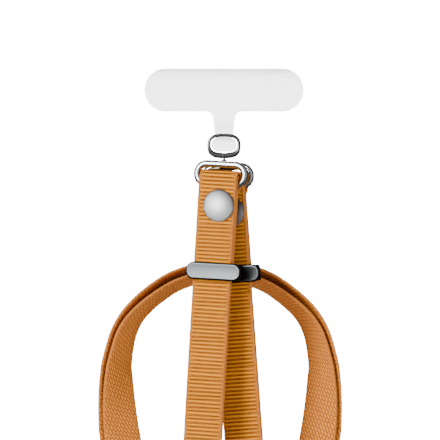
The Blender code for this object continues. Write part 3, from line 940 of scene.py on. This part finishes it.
    def inner(self) -> list[Section]:
        """Return the inner layer's sections; its ends lie over the bars."""
        hang = self.hang
        stations = self.fold(Side.FRONT, -hang.inner_face, hang.inner_face, hang.fold_rise, 90.0, 0.0)
        stations += self.loop()[0]
        stations += self.fold(Side.BACK, -hang.inner_face, hang.inner_face, hang.fold_rise, 0.0, 90.0)
        return self.sections(stations)


# Webbing


@dataclass
class Webbing:
    """One layer of webbing: a woven band, its cross ribs and its edge loops."""

    name: str
    node: str
    sections: list[Section]
    width: float = 15.4 * MM
    outer_half: float = 0.30 * MM
    inner_half: float = 0.60 * MM
    corner: float = 0.28 * MM
    rib_pitch: float = 1.5 * MM
    rib_half_width: float = 0.72 * MM
    rib_height: float = 0.34 * MM
    rib_margin: float = 0.85 * MM
    rib_seat: float = 0.05 * MM
    loop_pitch: float = 0.75 * MM
    loop_inset: float = 0.34 * MM
    loop_reach: float = 0.46 * MM
    loop_thickness: float = 0.58 * MM
    loop_overlap: float = 0.85
    shade: float = 0.16
    wander: float = math.radians(1.1)
    seed: int = 7
    flat_length: float = field(init=False, default=0.0)

    def profile(self) -> list[tuple[float, float]]:
        """Return the band's section as (across, towards the hollow side) pairs."""
        flat = self.width / 2 - self.loop_inset - self.corner
        rear, front = self.inner_half - self.corner, -self.outer_half + self.corner
        points = [(flat * (1.0 - 2.0 * i / 5), -self.outer_half) for i in range(6)]
        points += self.rounded(-flat, front, 270.0) + self.rounded(-flat, rear, 180.0)
        points += [(flat * (2.0 * i / 10 - 1.0), self.inner_half) for i in range(1, 11)]
        points += self.rounded(flat, rear, 90.0) + self.rounded(flat, front, 0.0)
        return points[:-1]

    def rounded(self, x: float, y: float, start: float) -> list[tuple[float, float]]:
        """Return a corner's quarter turn about a middle, clockwise from an angle in degrees."""
        turns = [math.radians(start - 90.0 * i / 4) for i in range(1, 5)]
        return [(x + self.corner * math.cos(turn), y + self.corner * math.sin(turn)) for turn in turns]

    def band(self, finish: TwillYarn) -> bpy.types.Object:
        """Return the woven band, with its surface coordinates in metres."""
        profile = self.profile()
        rings = [[place.point + place.width * x + place.hollow * y for x, y in profile]
                 for place in self.sections]
        bm = loft(rings)
        along = [0.0]
        for near, far in zip(self.sections, self.sections[1:]):
            along.append(along[-1] + (far.point - near.point).length)
        self.flat_length = along[-1]
        around = [0.0]
        closed = profile + profile[:1]
        for (x0, y0), (x1, y1) in zip(closed, closed[1:]):
            around.append(around[-1] + math.hypot(x1 - x0, y1 - y0))
        bm.verts.index_update()
        layer = bm.loops.layers.uv.new("UVMap")
        count = len(profile)
        for face in bm.faces:
            columns = [vert.index % count for vert in face.verts]
            wraps = len(face.verts) == 4 and max(columns) - min(columns) > 1
            for corner in face.loops:
                column = corner.vert.index % count
                place = around[count] if wraps and column == 0 else around[column]
                corner[layer].uv = (place, along[corner.vert.index // count])
        return new_piece(self.name, bm, finish.material(), 60.0)

    def path(self, side_offset: float, depth: float) -> bpy.types.Object:
        """Return the polyline that the repeats follow, with its directions as attributes.

        Args:
            side_offset: How far it lies to the side of the middle.
            depth: How far it lies towards the hollow side.

        Returns:
            An object of vertices and edges.
        """
        mesh = bpy.data.meshes.new(self.name + "_path")
        points = [s.point + s.width * side_offset + s.hollow * depth for s in self.sections]
        mesh.from_pydata(points, [(i, i + 1) for i in range(len(points) - 1)], [])
        for label, vectors in (("across", [s.width for s in self.sections]),
                               ("outward", [-s.hollow for s in self.sections])):
            stored = mesh.attributes.new(label, "FLOAT_VECTOR", "POINT")
            stored.data.foreach_set("vector", [c for v in vectors for c in v])
        return add_object(self.name + "_path", mesh)

    def rib(self) -> bpy.types.Object:
        """Return one cross rib: a half-round bar with rounded ends, in a few dozen faces."""
        half = self.width / 2 - self.rib_margin
        turns = [math.radians(-90.0 + 36.0 * i) for i in range(6)]
        rings = []
        for share, height in RIB_ROWS:
            narrowed = self.rib_half_width * (0.6 + 0.4 * height)
            ring = [Vector((half * share, narrowed * math.sin(a),
                            self.rib_height * height * max(math.cos(a), 0.0) ** 0.8)) for a in turns]
            ring.append(Vector((half * share, 0.0, -self.rib_height * 0.2)))
            rings.append(ring)
        return self.template("rib", loft(rings), 0)

    def edge_loop(self) -> bpy.types.Object:
        """Return one loop of the weft at the webbing's edge, a small bead."""
        bm = bmesh.new()
        bmesh.ops.create_uvsphere(bm, u_segments=8, v_segments=5, radius=1.0)
        bm.transform(Matrix.Diagonal((self.loop_reach, self.loop_pitch * self.loop_overlap,
                                      self.loop_thickness, 1.0)))
        return self.template("edge_loop", bm, 2)

    @staticmethod
    def template(name: str, bm: bmesh.types.BMesh, thread_axis: int) -> bpy.types.Object:
        """Return an object that only serves to be repeated.

        Args:
            name: Its name.
            bm: Its bmesh, which is freed.
            thread_axis: The axis that its threads follow, 0 for x and 2 for z.

        Returns:
            The new object.
        """
        layer = bm.loops.layers.uv.new("UVMap")
        for face in bm.faces:
            for corner in face.loops:
                corner[layer].uv = (corner.vert.co[thread_axis], corner.vert.co.y)
        mesh = bpy.data.meshes.new(name)
        bm.to_mesh(mesh)
        bm.free()
        mesh.shade_smooth()
        return add_object(name, mesh)

    @staticmethod
    def repeat_tree() -> TreeBuilder:
        """Return the tree that repeats a piece along the path, square to the webbing."""
        build = TreeBuilder("repeat_along_webbing")
        piece = build.add_input("Piece", "Object")
        pitch = build.add_input("Pitch", "Float")
        shade = build.add_input("Shade", "Float")
        wander = build.add_input("Wander", "Float")
        seed = build.add_input("Seed", "Int")
        cloth = build.add_input("Cloth", "Material")
        curve = build.node("GeometryNodeMeshToCurve", {"Mesh": build.inputs.outputs["Geometry"]})
        evenly = build.node("GeometryNodeResampleCurve",
                            {"Curve": curve.outputs["Curve"], "Length": pitch}, mode="LENGTH")
        turn = build.node("FunctionNodeAxesToRotation",
                          {"Primary Axis": build.attribute("across"),
                           "Secondary Axis": build.attribute("outward")},
                          primary_axis="X", secondary_axis="Z")
        euler = build.node("ShaderNodeCombineXYZ", {"Z": build.random(1.0, seed, wander)})
        jitter = build.node("FunctionNodeRotateRotation",
                            {"Rotation": turn.outputs["Rotation"], "Rotate By": euler.outputs["Vector"]},
                            rotation_space="LOCAL")
        shape = build.node("GeometryNodeObjectInfo", {"Object": piece}, transform_space="ORIGINAL")
        copies = build.node("GeometryNodeInstanceOnPoints",
                            {"Points": evenly.outputs["Curve"], "Instance": shape.outputs["Geometry"],
                             "Rotation": jitter.outputs["Rotation"]})
        store = build.node("GeometryNodeStoreNamedAttribute",
                           {"Geometry": copies.outputs["Instances"], "Name": "shade"},
                           data_type="FLOAT", domain="INSTANCE")
        value_slot = next(s for s in store.inputs if s.name == "Value" and s.enabled)
        plug(build.tree, value_slot, build.random(0.5, seed, shade))
        build.finish(store.outputs["Geometry"], cloth)
        return build

    def repeated(self, name: str, template: bpy.types.Object, side_offset: float, depth: float,
                 pitch: float, material: bpy.types.Material) -> bpy.types.Object:
        """Return copies of a small shape along the webbing as one plain mesh.

        Args:
            name: The new piece's name.
            template: The shape, which is removed.
            side_offset: How far the copies lie to the side of the middle.
            depth: How far they lie towards the hollow side.
            pitch: Their distance along the webbing.
            material: Their material.

        Returns:
            The new piece.
        """
        build = self.repeat_tree()
        piece = self.path(side_offset, depth)
        piece.name = name
        modifier = piece.modifiers.new("repeat", "NODES")
        modifier.node_group = build.tree
        values = {"Piece": template, "Pitch": pitch, "Shade": self.shade, "Wander": self.wander,
                  "Seed": self.seed, "Cloth": material}
        for label, value in values.items():
            modifier[build.sockets[label]] = value
        replace_mesh(piece)
        bpy.data.objects.remove(template, do_unlink=True)
        return piece

    def build(self, finishes: Finishes) -> None:
        """Make the layer's band, ribs and edge loops and dress them."""
        band = dress(self.band(finishes.twill), Body.STRAP, "ochre_webbing", self.node)
        ribs = self.repeated(self.name + "_ribs", self.rib(), 0.0, self.rib_seat - self.outer_half,
                             self.rib_pitch, finishes.rib.material())
        dress(ribs, Body.STRAP, "ochre_webbing")
        # The edge loops wear the darker edge yarn, painted shade of the selvedges.
        for label, sign in (("left_edge", -1.0), ("right_edge", 1.0)):
            edge = self.repeated(f"{self.name}_{label}", self.edge_loop(),
                                 sign * (self.width / 2 - self.loop_reach), 0.0,
                                 self.loop_pitch, finishes.edge_yarn_painted_shade.material())
            dress(edge, Body.STRAP, "ochre_webbing")


# Metal pieces

UPRIGHT = (Vector(), Vector((1.0, 0.0, 0.0)), Vector((0.0, 1.0, 0.0)), Vector((0.0, 0.0, 1.0)))


def turned(name: str, profile: Sequence[tuple[float, float]], sides: int, material: bpy.types.Material,
           origin: Vector, right: Vector, depth: Vector, axis: Vector,
           closed: bool = False) -> bpy.types.Object:
    """Turn a profile of (radius, height) pairs about an axis into a piece.

    Args:
        name: The piece's name.
        profile: Radius and height pairs from one end to the other.
        sides: Points round the axis.
        material: The piece's material.
        origin: A point on the axis, at height 0.
        right: A direction square to the axis.
        depth: The other direction square to it.
        axis: The axis.
        closed: Whether the profile's last point meets its first.

    Returns:
        The new piece.
    """
    turns = [2.0 * math.pi * i / sides for i in range(sides)]
    rings = [[origin + axis * height + (right * math.cos(turn) + depth * math.sin(turn)) * radius
              for turn in turns] for radius, height in profile]
    return new_piece(name, loft(rings, closed), material, 50.0)


@dataclass
class Snap:
    """A snap fastener: a low domed cap in front and its socket behind."""

    side: Side
    hang: Hang
    diameter: float = 12.5 * MM
    height: float = 1.3 * MM
    rim: float = 0.42 * MM
    post: float = 4.0 * MM
    socket_thickness: float = 0.8 * MM
    socket_edge: float = 0.4 * MM
    roll_steps: int = 8
    roll_turn: float = 150.0
    dome_steps: int = 15
    dome_fullness: float = 0.9
    sides: int = 96
    socket_sides: int = 64

    def frame(self) -> tuple[Vector, Vector, Vector, Vector]:
        """Return the origin on the tail's face, right, up and front directions."""
        hang = self.hang
        drop = hang.snap_drop if self.side is Side.FRONT else hang.back_snap_drop
        point, right, down, back = hang.tail_frame(self.side, drop)
        face = -hang.inner_face - hang.layer_step - hang.webbing / 2
        return point + right * hang.snap_shift + back * face, right, -down, -back

    def cap_profile(self) -> list[tuple[float, float]]:
        """Return the cap's profile: post, underside, rolled rim and dome."""
        radius, fit = self.diameter / 2, self.hang.fit
        post = self.post / 2
        roll = self.rim / 2
        points = [(post, -self.hang.stack - fit), (post, fit * 0.5), (radius - roll, fit * 0.5)]
        for i in range(1, self.roll_steps + 1):
            turn = math.radians(-90.0 + self.roll_turn * i / self.roll_steps)
            points.append((radius - roll + roll * math.cos(turn), fit * 0.5 + roll + roll * math.sin(turn)))
        edge_radius, edge_height = points[-1]
        top = fit + self.height
        for i in range(1, self.dome_steps):
            share = i / self.dome_steps
            rise = math.sin(0.5 * math.pi * share) ** self.dome_fullness
            points.append((edge_radius * (1.0 - share), edge_height + (top - edge_height) * rise))
        points.append((edge_radius * 0.01, top))
        return points

    def socket_profile(self) -> list[tuple[float, float]]:
        """Return the socket's profile, with its raised collar round the post's end."""
        radius, fit = self.hang.socket / 2, self.hang.fit
        top = -self.hang.stack - fit * 0.5
        base = top - self.socket_thickness
        post = self.post / 2
        edge = self.socket_edge
        points = [(post * 0.75, top - edge), (post + 0.1 * MM, base), (post + 0.5 * MM, base),
                  (post + 0.9 * MM, base + 0.35 * MM), (radius - 0.5 * MM, base + 0.32 * MM)]
        points += [(radius - edge + edge * s, top - edge * c) for c, s in quarter_turns(5)]
        return points + [(post + fit, top), (post + fit, top - fit), (post * 0.75, top - fit)]

    def build(self, finishes: Finishes) -> None:
        """Make the cap and the socket and dress them."""
        label = "front_snap" if self.side is Side.FRONT else "back_snap"
        material = finishes.satin.material()
        origin, right, up, front = self.frame()
        cap = turned(label + "_cap_metal", self.cap_profile(), self.sides, material, origin, right, up, front)
        # Painted light: the cap's share runs from 0 at its top right, painted shade, to 1 at its lower left,
        # a painted highlight.
        towards_painted_light = (right * -0.45 - up * 0.9) / self.diameter
        painted_light_share = cap.data.attributes.new("painted_light_share", "FLOAT", "POINT")
        painted_light_share.data.foreach_set("value", [ease(0.5 + (vert.co - origin).dot(towards_painted_light))
                                        for vert in cap.data.vertices])
        dress(cap, Body.STRAP, "satin_steel", label + "_cap")
        # The socket shares the satin but has no share attribute, so it takes the dark painted-shade colour
        # all over.
        socket = turned(label + "_socket_metal", self.socket_profile(), self.socket_sides, material,
                        origin, right, up, front, closed=True)
        dress(socket, Body.STRAP, "satin_steel", label + "_socket")


@dataclass
class Slider:
    """A slider: a round-ended plate, satin inside a polished bevel, on a narrower sleeve."""

    side: Side
    hang: Hang
    width: float = 22.5 * MM
    corner: float = 3.2 * MM
    plate: float = 1.4 * MM
    sleeve_width: float = 18.8 * MM
    sleeve_height: float = 6.2 * MM
    sleeve_corner: float = 0.8 * MM
    bevel: float = 0.85 * MM
    bevel_depth: float = 0.5 * MM
    face_step: float = 0.35 * MM
    face_sink: float = 0.06 * MM
    rim: float = 0.2 * MM
    chamfer: float = 0.2 * MM
    steps: int = 16

    def outline(self, sleeve: bool, inset: float) -> list[tuple[float, float]]:
        """Return the rounded outline of the plate or the sleeve, drawn in by an inset."""
        half_width = (self.sleeve_width if sleeve else self.width) / 2
        half_height = (self.sleeve_height if sleeve else self.hang.slider_height) / 2
        corner = self.sleeve_corner if sleeve else self.corner
        points = []
        for x_side, z_side, start in ((1.0, 1.0, 0.0), (-1.0, 1.0, 0.5), (-1.0, -1.0, 1.0), (1.0, -1.0, 1.5)):
            for i in range(self.steps + 1):
                turn = math.pi * (start + 0.5 * i / self.steps)
                points.append((x_side * (half_width - corner) + (corner - inset) * math.cos(turn),
                               z_side * (half_height - corner) + (corner - inset) * math.sin(turn)))
        return points

    def build(self, finishes: Finishes) -> None:
        """Make the slider, cut its slot and dress it."""
        hang = self.hang
        label = "front_slider" if self.side is Side.FRONT else "back_slider"
        point, right, down, back = hang.tail_frame(self.side, hang.slider_drop)
        point = point + right * hang.slider_shift - back * hang.inner_face
        half_depth = hang.slot_depth / 2 + hang.slider_wall
        plate_back = self.plate - half_depth
        rim = self.rim
        layers = [(False, self.bevel + self.face_step, -half_depth + self.face_sink)]
        layers += [(False, self.bevel * (1.0 - s), -half_depth + self.bevel_depth * (1.0 - c))
                   for c, s in quarter_turns(6)]
        layers += [(False, rim * (1.0 - c), plate_back - rim * (1.0 - s)) for c, s in quarter_turns(4)]
        layers += [(True, 0.0, plate_back)]
        layers += [(True, rim * (1.0 - c), half_depth - rim * (1.0 - s)) for c, s in quarter_turns(4)]
        rings = [[point + right * x - down * z + back * y for x, z in self.outline(sleeve, inset)]
                 for sleeve, inset, y in layers]
        body = new_piece(label + "_metal", loft(rings), finishes.face.material(), 35.0)
        body.data.materials.append(finishes.edge.material())
        half = hang.webbing_width / 2 + hang.fit
        deep, chamfer = hang.slot_depth / 2, self.chamfer
        corners = [(x * (half - cut_x), y * (deep - cut_y)) for x, y, cut_x, cut_y in (
            (-1, -1, chamfer, 0.0), (1, -1, chamfer, 0.0), (1, -1, 0.0, chamfer), (1, 1, 0.0, chamfer),
            (1, 1, chamfer, 0.0), (-1, 1, chamfer, 0.0), (-1, 1, 0.0, chamfer), (-1, -1, 0.0, chamfer))]
        slot_rings = [[point + right * (x - hang.slider_shift) + back * y - down * z for x, y in corners]
                      for z in (-hang.slider_height, hang.slider_height)]
        cut_or_join(body, new_piece("slot", loft(slot_rings), finishes.face.material()), "DIFFERENCE")
        front = -back
        # Painted shade: the bevel's faces take the near-black second metal, a painted dark reflection of the
        # polished bevel.
        for face in body.data.polygons:
            offset = (face.center - point).dot(front)
            if offset > half_depth - self.bevel_depth * 1.02 and face.normal.dot(front) < 0.985:
                face.material_index = 1
        smooth(body.data, 35.0)
        dress(body, Body.STRAP, "satin_steel", label)


@dataclass
class StrapRing:
    """The double oval ring, its bridge and the swivel's stem, as one metal piece."""

    hang: Hang
    squareness: float = 2.0
    wire_sides: int = 36
    end_steps: int = 40
    bridge_width: float = 4.6 * MM
    bridge_height: float = 2.35 * MM
    bridge_squareness: float = 2.6
    bridge_sides: int = 32
    stem: float = 1.1 * MM
    ball: float = 2.1 * MM
    head: float = 2.0 * MM
    head_height: float = 0.6 * MM
    ball_steps: int = 12
    stem_sides: int = 36
    eye_bottom: float = -26.34 * MM
    foot_top: float = -24.04 * MM

    def wire(self, side: Side, material: bpy.types.Material) -> bpy.types.Object:
        """Return one oval wire."""
        hang = self.hang
        right, up = hang.side_axes(side)
        _, back = hang.axes()
        centre = hang.wire_centre(side)
        straight = (hang.ring_width - hang.ring_height) / 2
        rings = []
        for end in (1.0, -1.0):
            for i in range(self.end_steps + 1):
                angle = math.pi * (i / self.end_steps - 0.5)
                spoke = (right * math.cos(angle) + up * math.sin(angle)) * end
                middle = centre + right * straight * end + spoke * hang.bar_rise
                rings.append(section(middle, spoke, back, hang.ring_wire / 2,
                                     hang.ring_wire_depth / 2, self.squareness, self.wire_sides))
        return new_piece("wire", loft(rings, closed=True), material)

    def build(self, finishes: Finishes) -> None:
        """Make the ring as one body and dress it."""
        hang = self.hang
        material = finishes.nickel.material()
        ring = self.wire(Side.FRONT, material)
        cut_or_join(ring, self.wire(Side.BACK, material), "UNION")
        bridge = []
        for side in Side:
            right, up = hang.side_axes(side)
            bridge.append(section(hang.wire_centre(side) + up * hang.bar_rise, right, up,
                                  self.bridge_width / 2, self.bridge_height / 2,
                                  self.bridge_squareness, self.bridge_sides))
        cut_or_join(ring, new_piece("bridge", loft(bridge), material), "UNION")
        neck, ball, head = self.stem / 2, self.ball / 2, self.head / 2
        head_bottom = self.foot_top - self.head_height - hang.fit
        ball_centre = self.eye_bottom - hang.fit - ball * 0.9
        profile = [(neck, -hang.ring_drop + hang.bar_rise - hang.back_wire_drop / 2)]
        for i in range(1, self.ball_steps):
            turn = math.pi * i / self.ball_steps
            profile.append((max(ball * math.sin(turn), neck), ball_centre - ball * math.cos(turn)))
        profile += [(neck, self.eye_bottom - hang.fit * 0.4), (neck, head_bottom)]
        profile += [(head * wide, head_bottom + self.head_height * high) for wide, high in STEM_HEAD_ROWS]
        stem = turned("stem", profile, self.stem_sides, material, *UPRIGHT)
        cut_or_join(ring, stem, "UNION")
        ring.name = "strap_ring_metal"
        smooth(ring.data, 50.0)
        dress(ring, Body.STRAP, "bright_steel", "strap_ring")


@dataclass
class SwivelEye:
    """The small dark oval eye with its heavy foot and the bore of the stem."""

    width: float = 12.9 * MM
    height: float = 9.6 * MM
    wire: float = 1.35 * MM
    foot: float = 2.3 * MM
    depth: float = 3.6 * MM
    drop: float = 21.54 * MM
    fit: float = 0.3 * MM
    stem: float = 1.1 * MM
    stem_head: float = 2.0 * MM
    stem_head_height: float = 0.6 * MM
    squareness: float = 2.8
    section_squareness: float = 2.8
    section_sides: int = 28
    bore_sides: int = 36
    steps: int = 120

    def opening(self) -> tuple[float, float, float]:
        """Return the half width, half height and middle height of the hole."""
        return (self.width / 2 - self.wire, (self.height - self.wire - self.foot) / 2,
                -self.drop + (self.foot - self.wire) / 2)

    def build(self, finishes: Finishes) -> None:
        """Make the eye, bore its foot and dress it."""
        half_width, half_height, middle = self.opening()
        rings = []
        for i in range(self.steps):
            angle = 2.0 * math.pi * i / self.steps
            x, z = oval(angle, self.width / 2, self.height / 2, self.squareness)
            outer = Vector((x, 0.0, z - self.drop))
            x, z = oval(angle, half_width, half_height, self.squareness)
            inner = Vector((x, 0.0, z + middle))
            rings.append(section((outer + inner) / 2, (outer - inner).normalized(), Vector((0, 1, 0)),
                                 (outer - inner).length / 2, self.depth / 2,
                                 self.section_squareness, self.section_sides))
        material = finishes.gunmetal.material()
        eye = new_piece("swivel_eye_metal", loft(rings, closed=True), material)
        fit = self.fit
        foot_top = -self.drop - self.height / 2 + self.foot
        seat = foot_top - self.stem_head_height - 2 * fit
        neck, head = self.stem / 2 + fit, self.stem_head / 2 + fit
        bore = turned("bore", [(neck, foot_top - 2 * self.foot), (neck, seat),
                               (head, seat), (head, foot_top + self.wire)],
                      self.bore_sides, material, *UPRIGHT)
        cut_or_join(eye, bore, "DIFFERENCE")
        smooth(eye.data, 45.0)
        dress(eye, Body.TAB, "dark_steel", "swivel_eye")


@dataclass
class Tab:
    """The milky film tab, its neck and the pad that sits in the eye."""

    eye: SwivelEye
    length: float = 61.2 * MM
    height: float = 16.6 * MM
    thickness: float = 0.9 * MM
    neck_root: float = 13.2 * MM
    neck: float = 8.4 * MM
    neck_end: float = 7.0 * MM
    fillet: float = 2.8 * MM
    pad_front: float = 0.7 * MM
    fit: float = 0.3 * MM
    round_edge: float = 0.30 * MM
    end_steps: int = 64
    fillet_steps: int = 16
    neck_steps: int = 24
    pad_steps: int = 32

    def row(self, height: float, half_width: float, front: float, back: float) -> Ring:
        """Return one level cross-section with rounded long edges."""
        edge = min(self.round_edge, half_width * 0.5)
        chamfer = edge * 0.3
        return [Vector((x, y, height)) for x, y in (
            (-half_width + edge, front), (half_width - edge, front),
            (half_width - chamfer, front + chamfer), (half_width, front + edge),
            (half_width, back - edge), (half_width - chamfer, back - chamfer),
            (half_width - edge, back), (-half_width + edge, back),
            (-half_width + chamfer, back - chamfer), (-half_width, back - edge),
            (-half_width, front + edge), (-half_width + chamfer, front + chamfer))]

    def rows(self) -> list[Ring]:
        """Return the cross-sections from the tab's top down to the pad's foot."""
        half, radius = self.thickness / 2, self.height / 2
        straight = self.length / 2 - radius
        rows = []
        for i in range(self.end_steps + 1):
            angle = math.pi * (0.5 - i / self.end_steps)
            reach = max(radius * math.cos(angle), radius * 0.02)
            rows.append(self.row(radius * math.sin(angle), straight + reach, -half, half))
        for i in range(1, self.fillet_steps + 1):
            turn = 0.5 * math.pi * i / self.fillet_steps
            flare = (self.neck_root - self.neck) / 2 * (1.0 - math.sin(turn))
            rows.append(self.row(-radius - self.fillet * (1.0 - math.cos(turn)),
                                 self.neck / 2 + flare, -half, half))
        neck_back = self.eye.depth / 2 + self.fit + self.thickness
        hole_half_width, hole_half_height, middle = self.eye.opening()
        top, end = radius + self.fillet, self.eye.drop - self.eye.height / 2 - self.fit
        for i in range(1, self.neck_steps + 1):
            share = i / self.neck_steps
            offset = (neck_back - half) * ease(share)
            width = self.neck + (self.neck_end - self.neck) * share
            rows.append(self.row(-top - (end - top) * share, width / 2, offset - half, offset + half))
        rows.append(self.row(middle + hole_half_height - self.fit, self.neck_end / 2,
                             neck_back - self.thickness, neck_back))
        half_height = hole_half_height - self.fit
        for i in range(self.pad_steps + 1):
            height = half_height * math.cos(math.pi * (0.12 + 0.86 * i / self.pad_steps))
            share = min(abs(height) / half_height, 1.0)
            half_width = (hole_half_width - self.fit) * (1.0 - share ** self.eye.squareness) ** (
                1.0 / self.eye.squareness)
            rows.append(self.row(middle + height, half_width, -self.pad_front, neck_back))
        return rows

    def build(self, finishes: Finishes) -> None:
        """Make the tab and dress it."""
        rows = self.rows()
        tab = new_piece("phone_tab_film", loft(rows), finishes.film.material(), 50.0)
        # Painted shade: the vertices off the flat front and back faces are marked 1, so the film's rounded
        # side edges take the darker thread colour.
        rim = tab.data.attributes.new("rim", "FLOAT", "POINT")
        count = len(rows[0])
        rim.data.foreach_set("value", [float(i % count not in (0, 1, 6, 7))
                                       for i in range(count * len(rows))])
        dress(tab, Body.TAB, "tab_film", "phone_tab")


# Stage


class Screen(NamedTuple):
    """A round soft screen that only mirror rays see: its direction, edges and strength."""

    direction: Vector
    rim: float
    core: float
    strength: float


class Lamp(NamedTuple):
    """A square soft lamp: its name, place, size in metres and power in watts."""

    name: str
    place: Vector
    size: float
    power: float


SCREENS = (
    Screen(Vector((-0.624, -0.743, 0.242)), 0.915, 0.985, 15.0),
    Screen(Vector((0.10, -0.98, 0.17)), 0.72, 0.96, 0.40),
)
LAMPS = (
    Lamp("key", Vector((-0.68, -0.64, 0.42)), 0.35, 21.0),
    Lamp("fill", Vector((0.75, -0.70, 0.15)), 0.6, 9.0),
)


@dataclass
class Studio:
    """The pale floor, the soft light and the level camera with a long lens."""

    middle: Vector = field(default_factory=lambda: Vector((0.0, 0.0, -0.07)))
    frame_width: float = 169.2 * MM
    centre_x: float = -1.54 * MM
    centre_z: float = -50.0 * MM
    distance: float = 2.5
    sensor: float = 0.036
    nearest: float = 0.05
    farthest: float = 20.0
    floor_drop: float = 0.235
    floor_radius: float = 1.6
    white: float = 18.5
    ambient: float = 0.30
    dark_side: float = 0.10

    def floor(self) -> None:
        """Lay the pale floor below the strap."""
        bm = bmesh.new()
        bmesh.ops.create_circle(bm, cap_ends=True, segments=96, radius=self.floor_radius,
                                matrix=Matrix.Translation((0.0, 0.0, -self.floor_drop)))
        build = ShaderBuilder("pale_floor")
        build.set_shader(Base_Color=(0.86, 0.86, 0.86, 1.0), Roughness=0.9)
        floor = new_piece("pale_floor", bm, build.material)
        floor.visible_glossy = False

    def light(self, lamp: Lamp) -> None:
        """Hang one lamp that faces the middle of the strap."""
        data = bpy.data.lights.new(lamp.name, "AREA")
        data.shape = "SQUARE"
        data.size = lamp.size
        data.energy = lamp.power
        holder = add_object(lamp.name, data)
        holder.visible_glossy = False
        holder.location = lamp.place
        holder.rotation_euler = (self.middle - lamp.place).to_track_quat("-Z", "Y").to_euler()

    def world(self) -> None:
        """Surround the strap with a white room, dim for cloth, with soft screens in front for metal."""
        world = bpy.data.worlds.new("white_room")
        world.use_nodes = True
        build = ShaderBuilder.for_tree(world.node_tree)
        path = build.node("ShaderNodeLightPath").outputs
        heading = build.node("ShaderNodeTexCoord").outputs["Generated"]
        glossy = self.dark_side
        for screen in SCREENS:
            near = build.node("ShaderNodeVectorMath", operation="DOT_PRODUCT")
            build.link(heading, near.inputs[0])
            near.inputs[1].default_value = screen.direction
            span = build.node("ShaderNodeMapRange", interpolation_type="SMOOTHSTEP",
                              From_Min=screen.rim, From_Max=screen.core)
            build.link(near.outputs["Value"], span.inputs["Value"])
            glossy = build.math("MULTIPLY_ADD", span.outputs["Result"], screen.strength, glossy)
        mirrored = build.math("SUBTRACT", path["Is Glossy Ray"], path["Is Transmission Ray"])
        mirrored = build.math("MAXIMUM", mirrored, 0.0)
        lit = build.math("ADD", build.math("MULTIPLY", mirrored, glossy),
                         build.math("MULTIPLY", path["Is Diffuse Ray"], self.ambient))
        seen = build.math("SUBTRACT", 1.0, build.math("MAXIMUM", mirrored, path["Is Diffuse Ray"]))
        strength = build.math("MULTIPLY_ADD", seen, self.white, lit)
        build.link(strength, world.node_tree.nodes["Background"].inputs["Strength"])
        world.node_tree.nodes["Background"].inputs["Color"].default_value = (1.0, 1.0, 1.0, 1.0)
        world.cycles.sampling_method = "NONE"
        bpy.context.scene.world = world

    def camera(self) -> None:
        """Put the camera level in front of the strap."""
        data = bpy.data.cameras.new("camera")
        data.sensor_width = self.sensor / MM
        data.lens = data.sensor_width * self.distance / self.frame_width
        data.clip_start, data.clip_end = self.nearest, self.farthest
        camera = add_object("camera", data)
        camera.location = (self.centre_x, -self.distance, self.centre_z)
        camera.rotation_euler = (math.radians(90.0), 0.0, 0.0)
        bpy.context.scene.camera = camera

    def build(self) -> None:
        """Set the whole stage."""
        self.floor()
        self.world()
        for lamp in LAMPS:
            self.light(lamp)
        self.camera()


def main() -> None:
    """Build every piece in order."""
    logging.basicConfig(level=logging.INFO, format="%(name)s: %(message)s")
    finishes, hang = Finishes(), Hang()
    route = Route(hang)
    eye = SwivelEye()
    Tab(eye).build(finishes)
    eye.build(finishes)
    StrapRing(hang).build(finishes)
    Webbing("outer_webbing", "webbing_outer", route.outer()).build(finishes)
    Webbing("inner_webbing", "webbing_inner", route.inner(), seed=11).build(finishes)
    for side in Side:
        Snap(side, hang).build(finishes)
        Slider(side, hang).build(finishes)
    Studio().build()


if __name__ == "__main__":
    main()
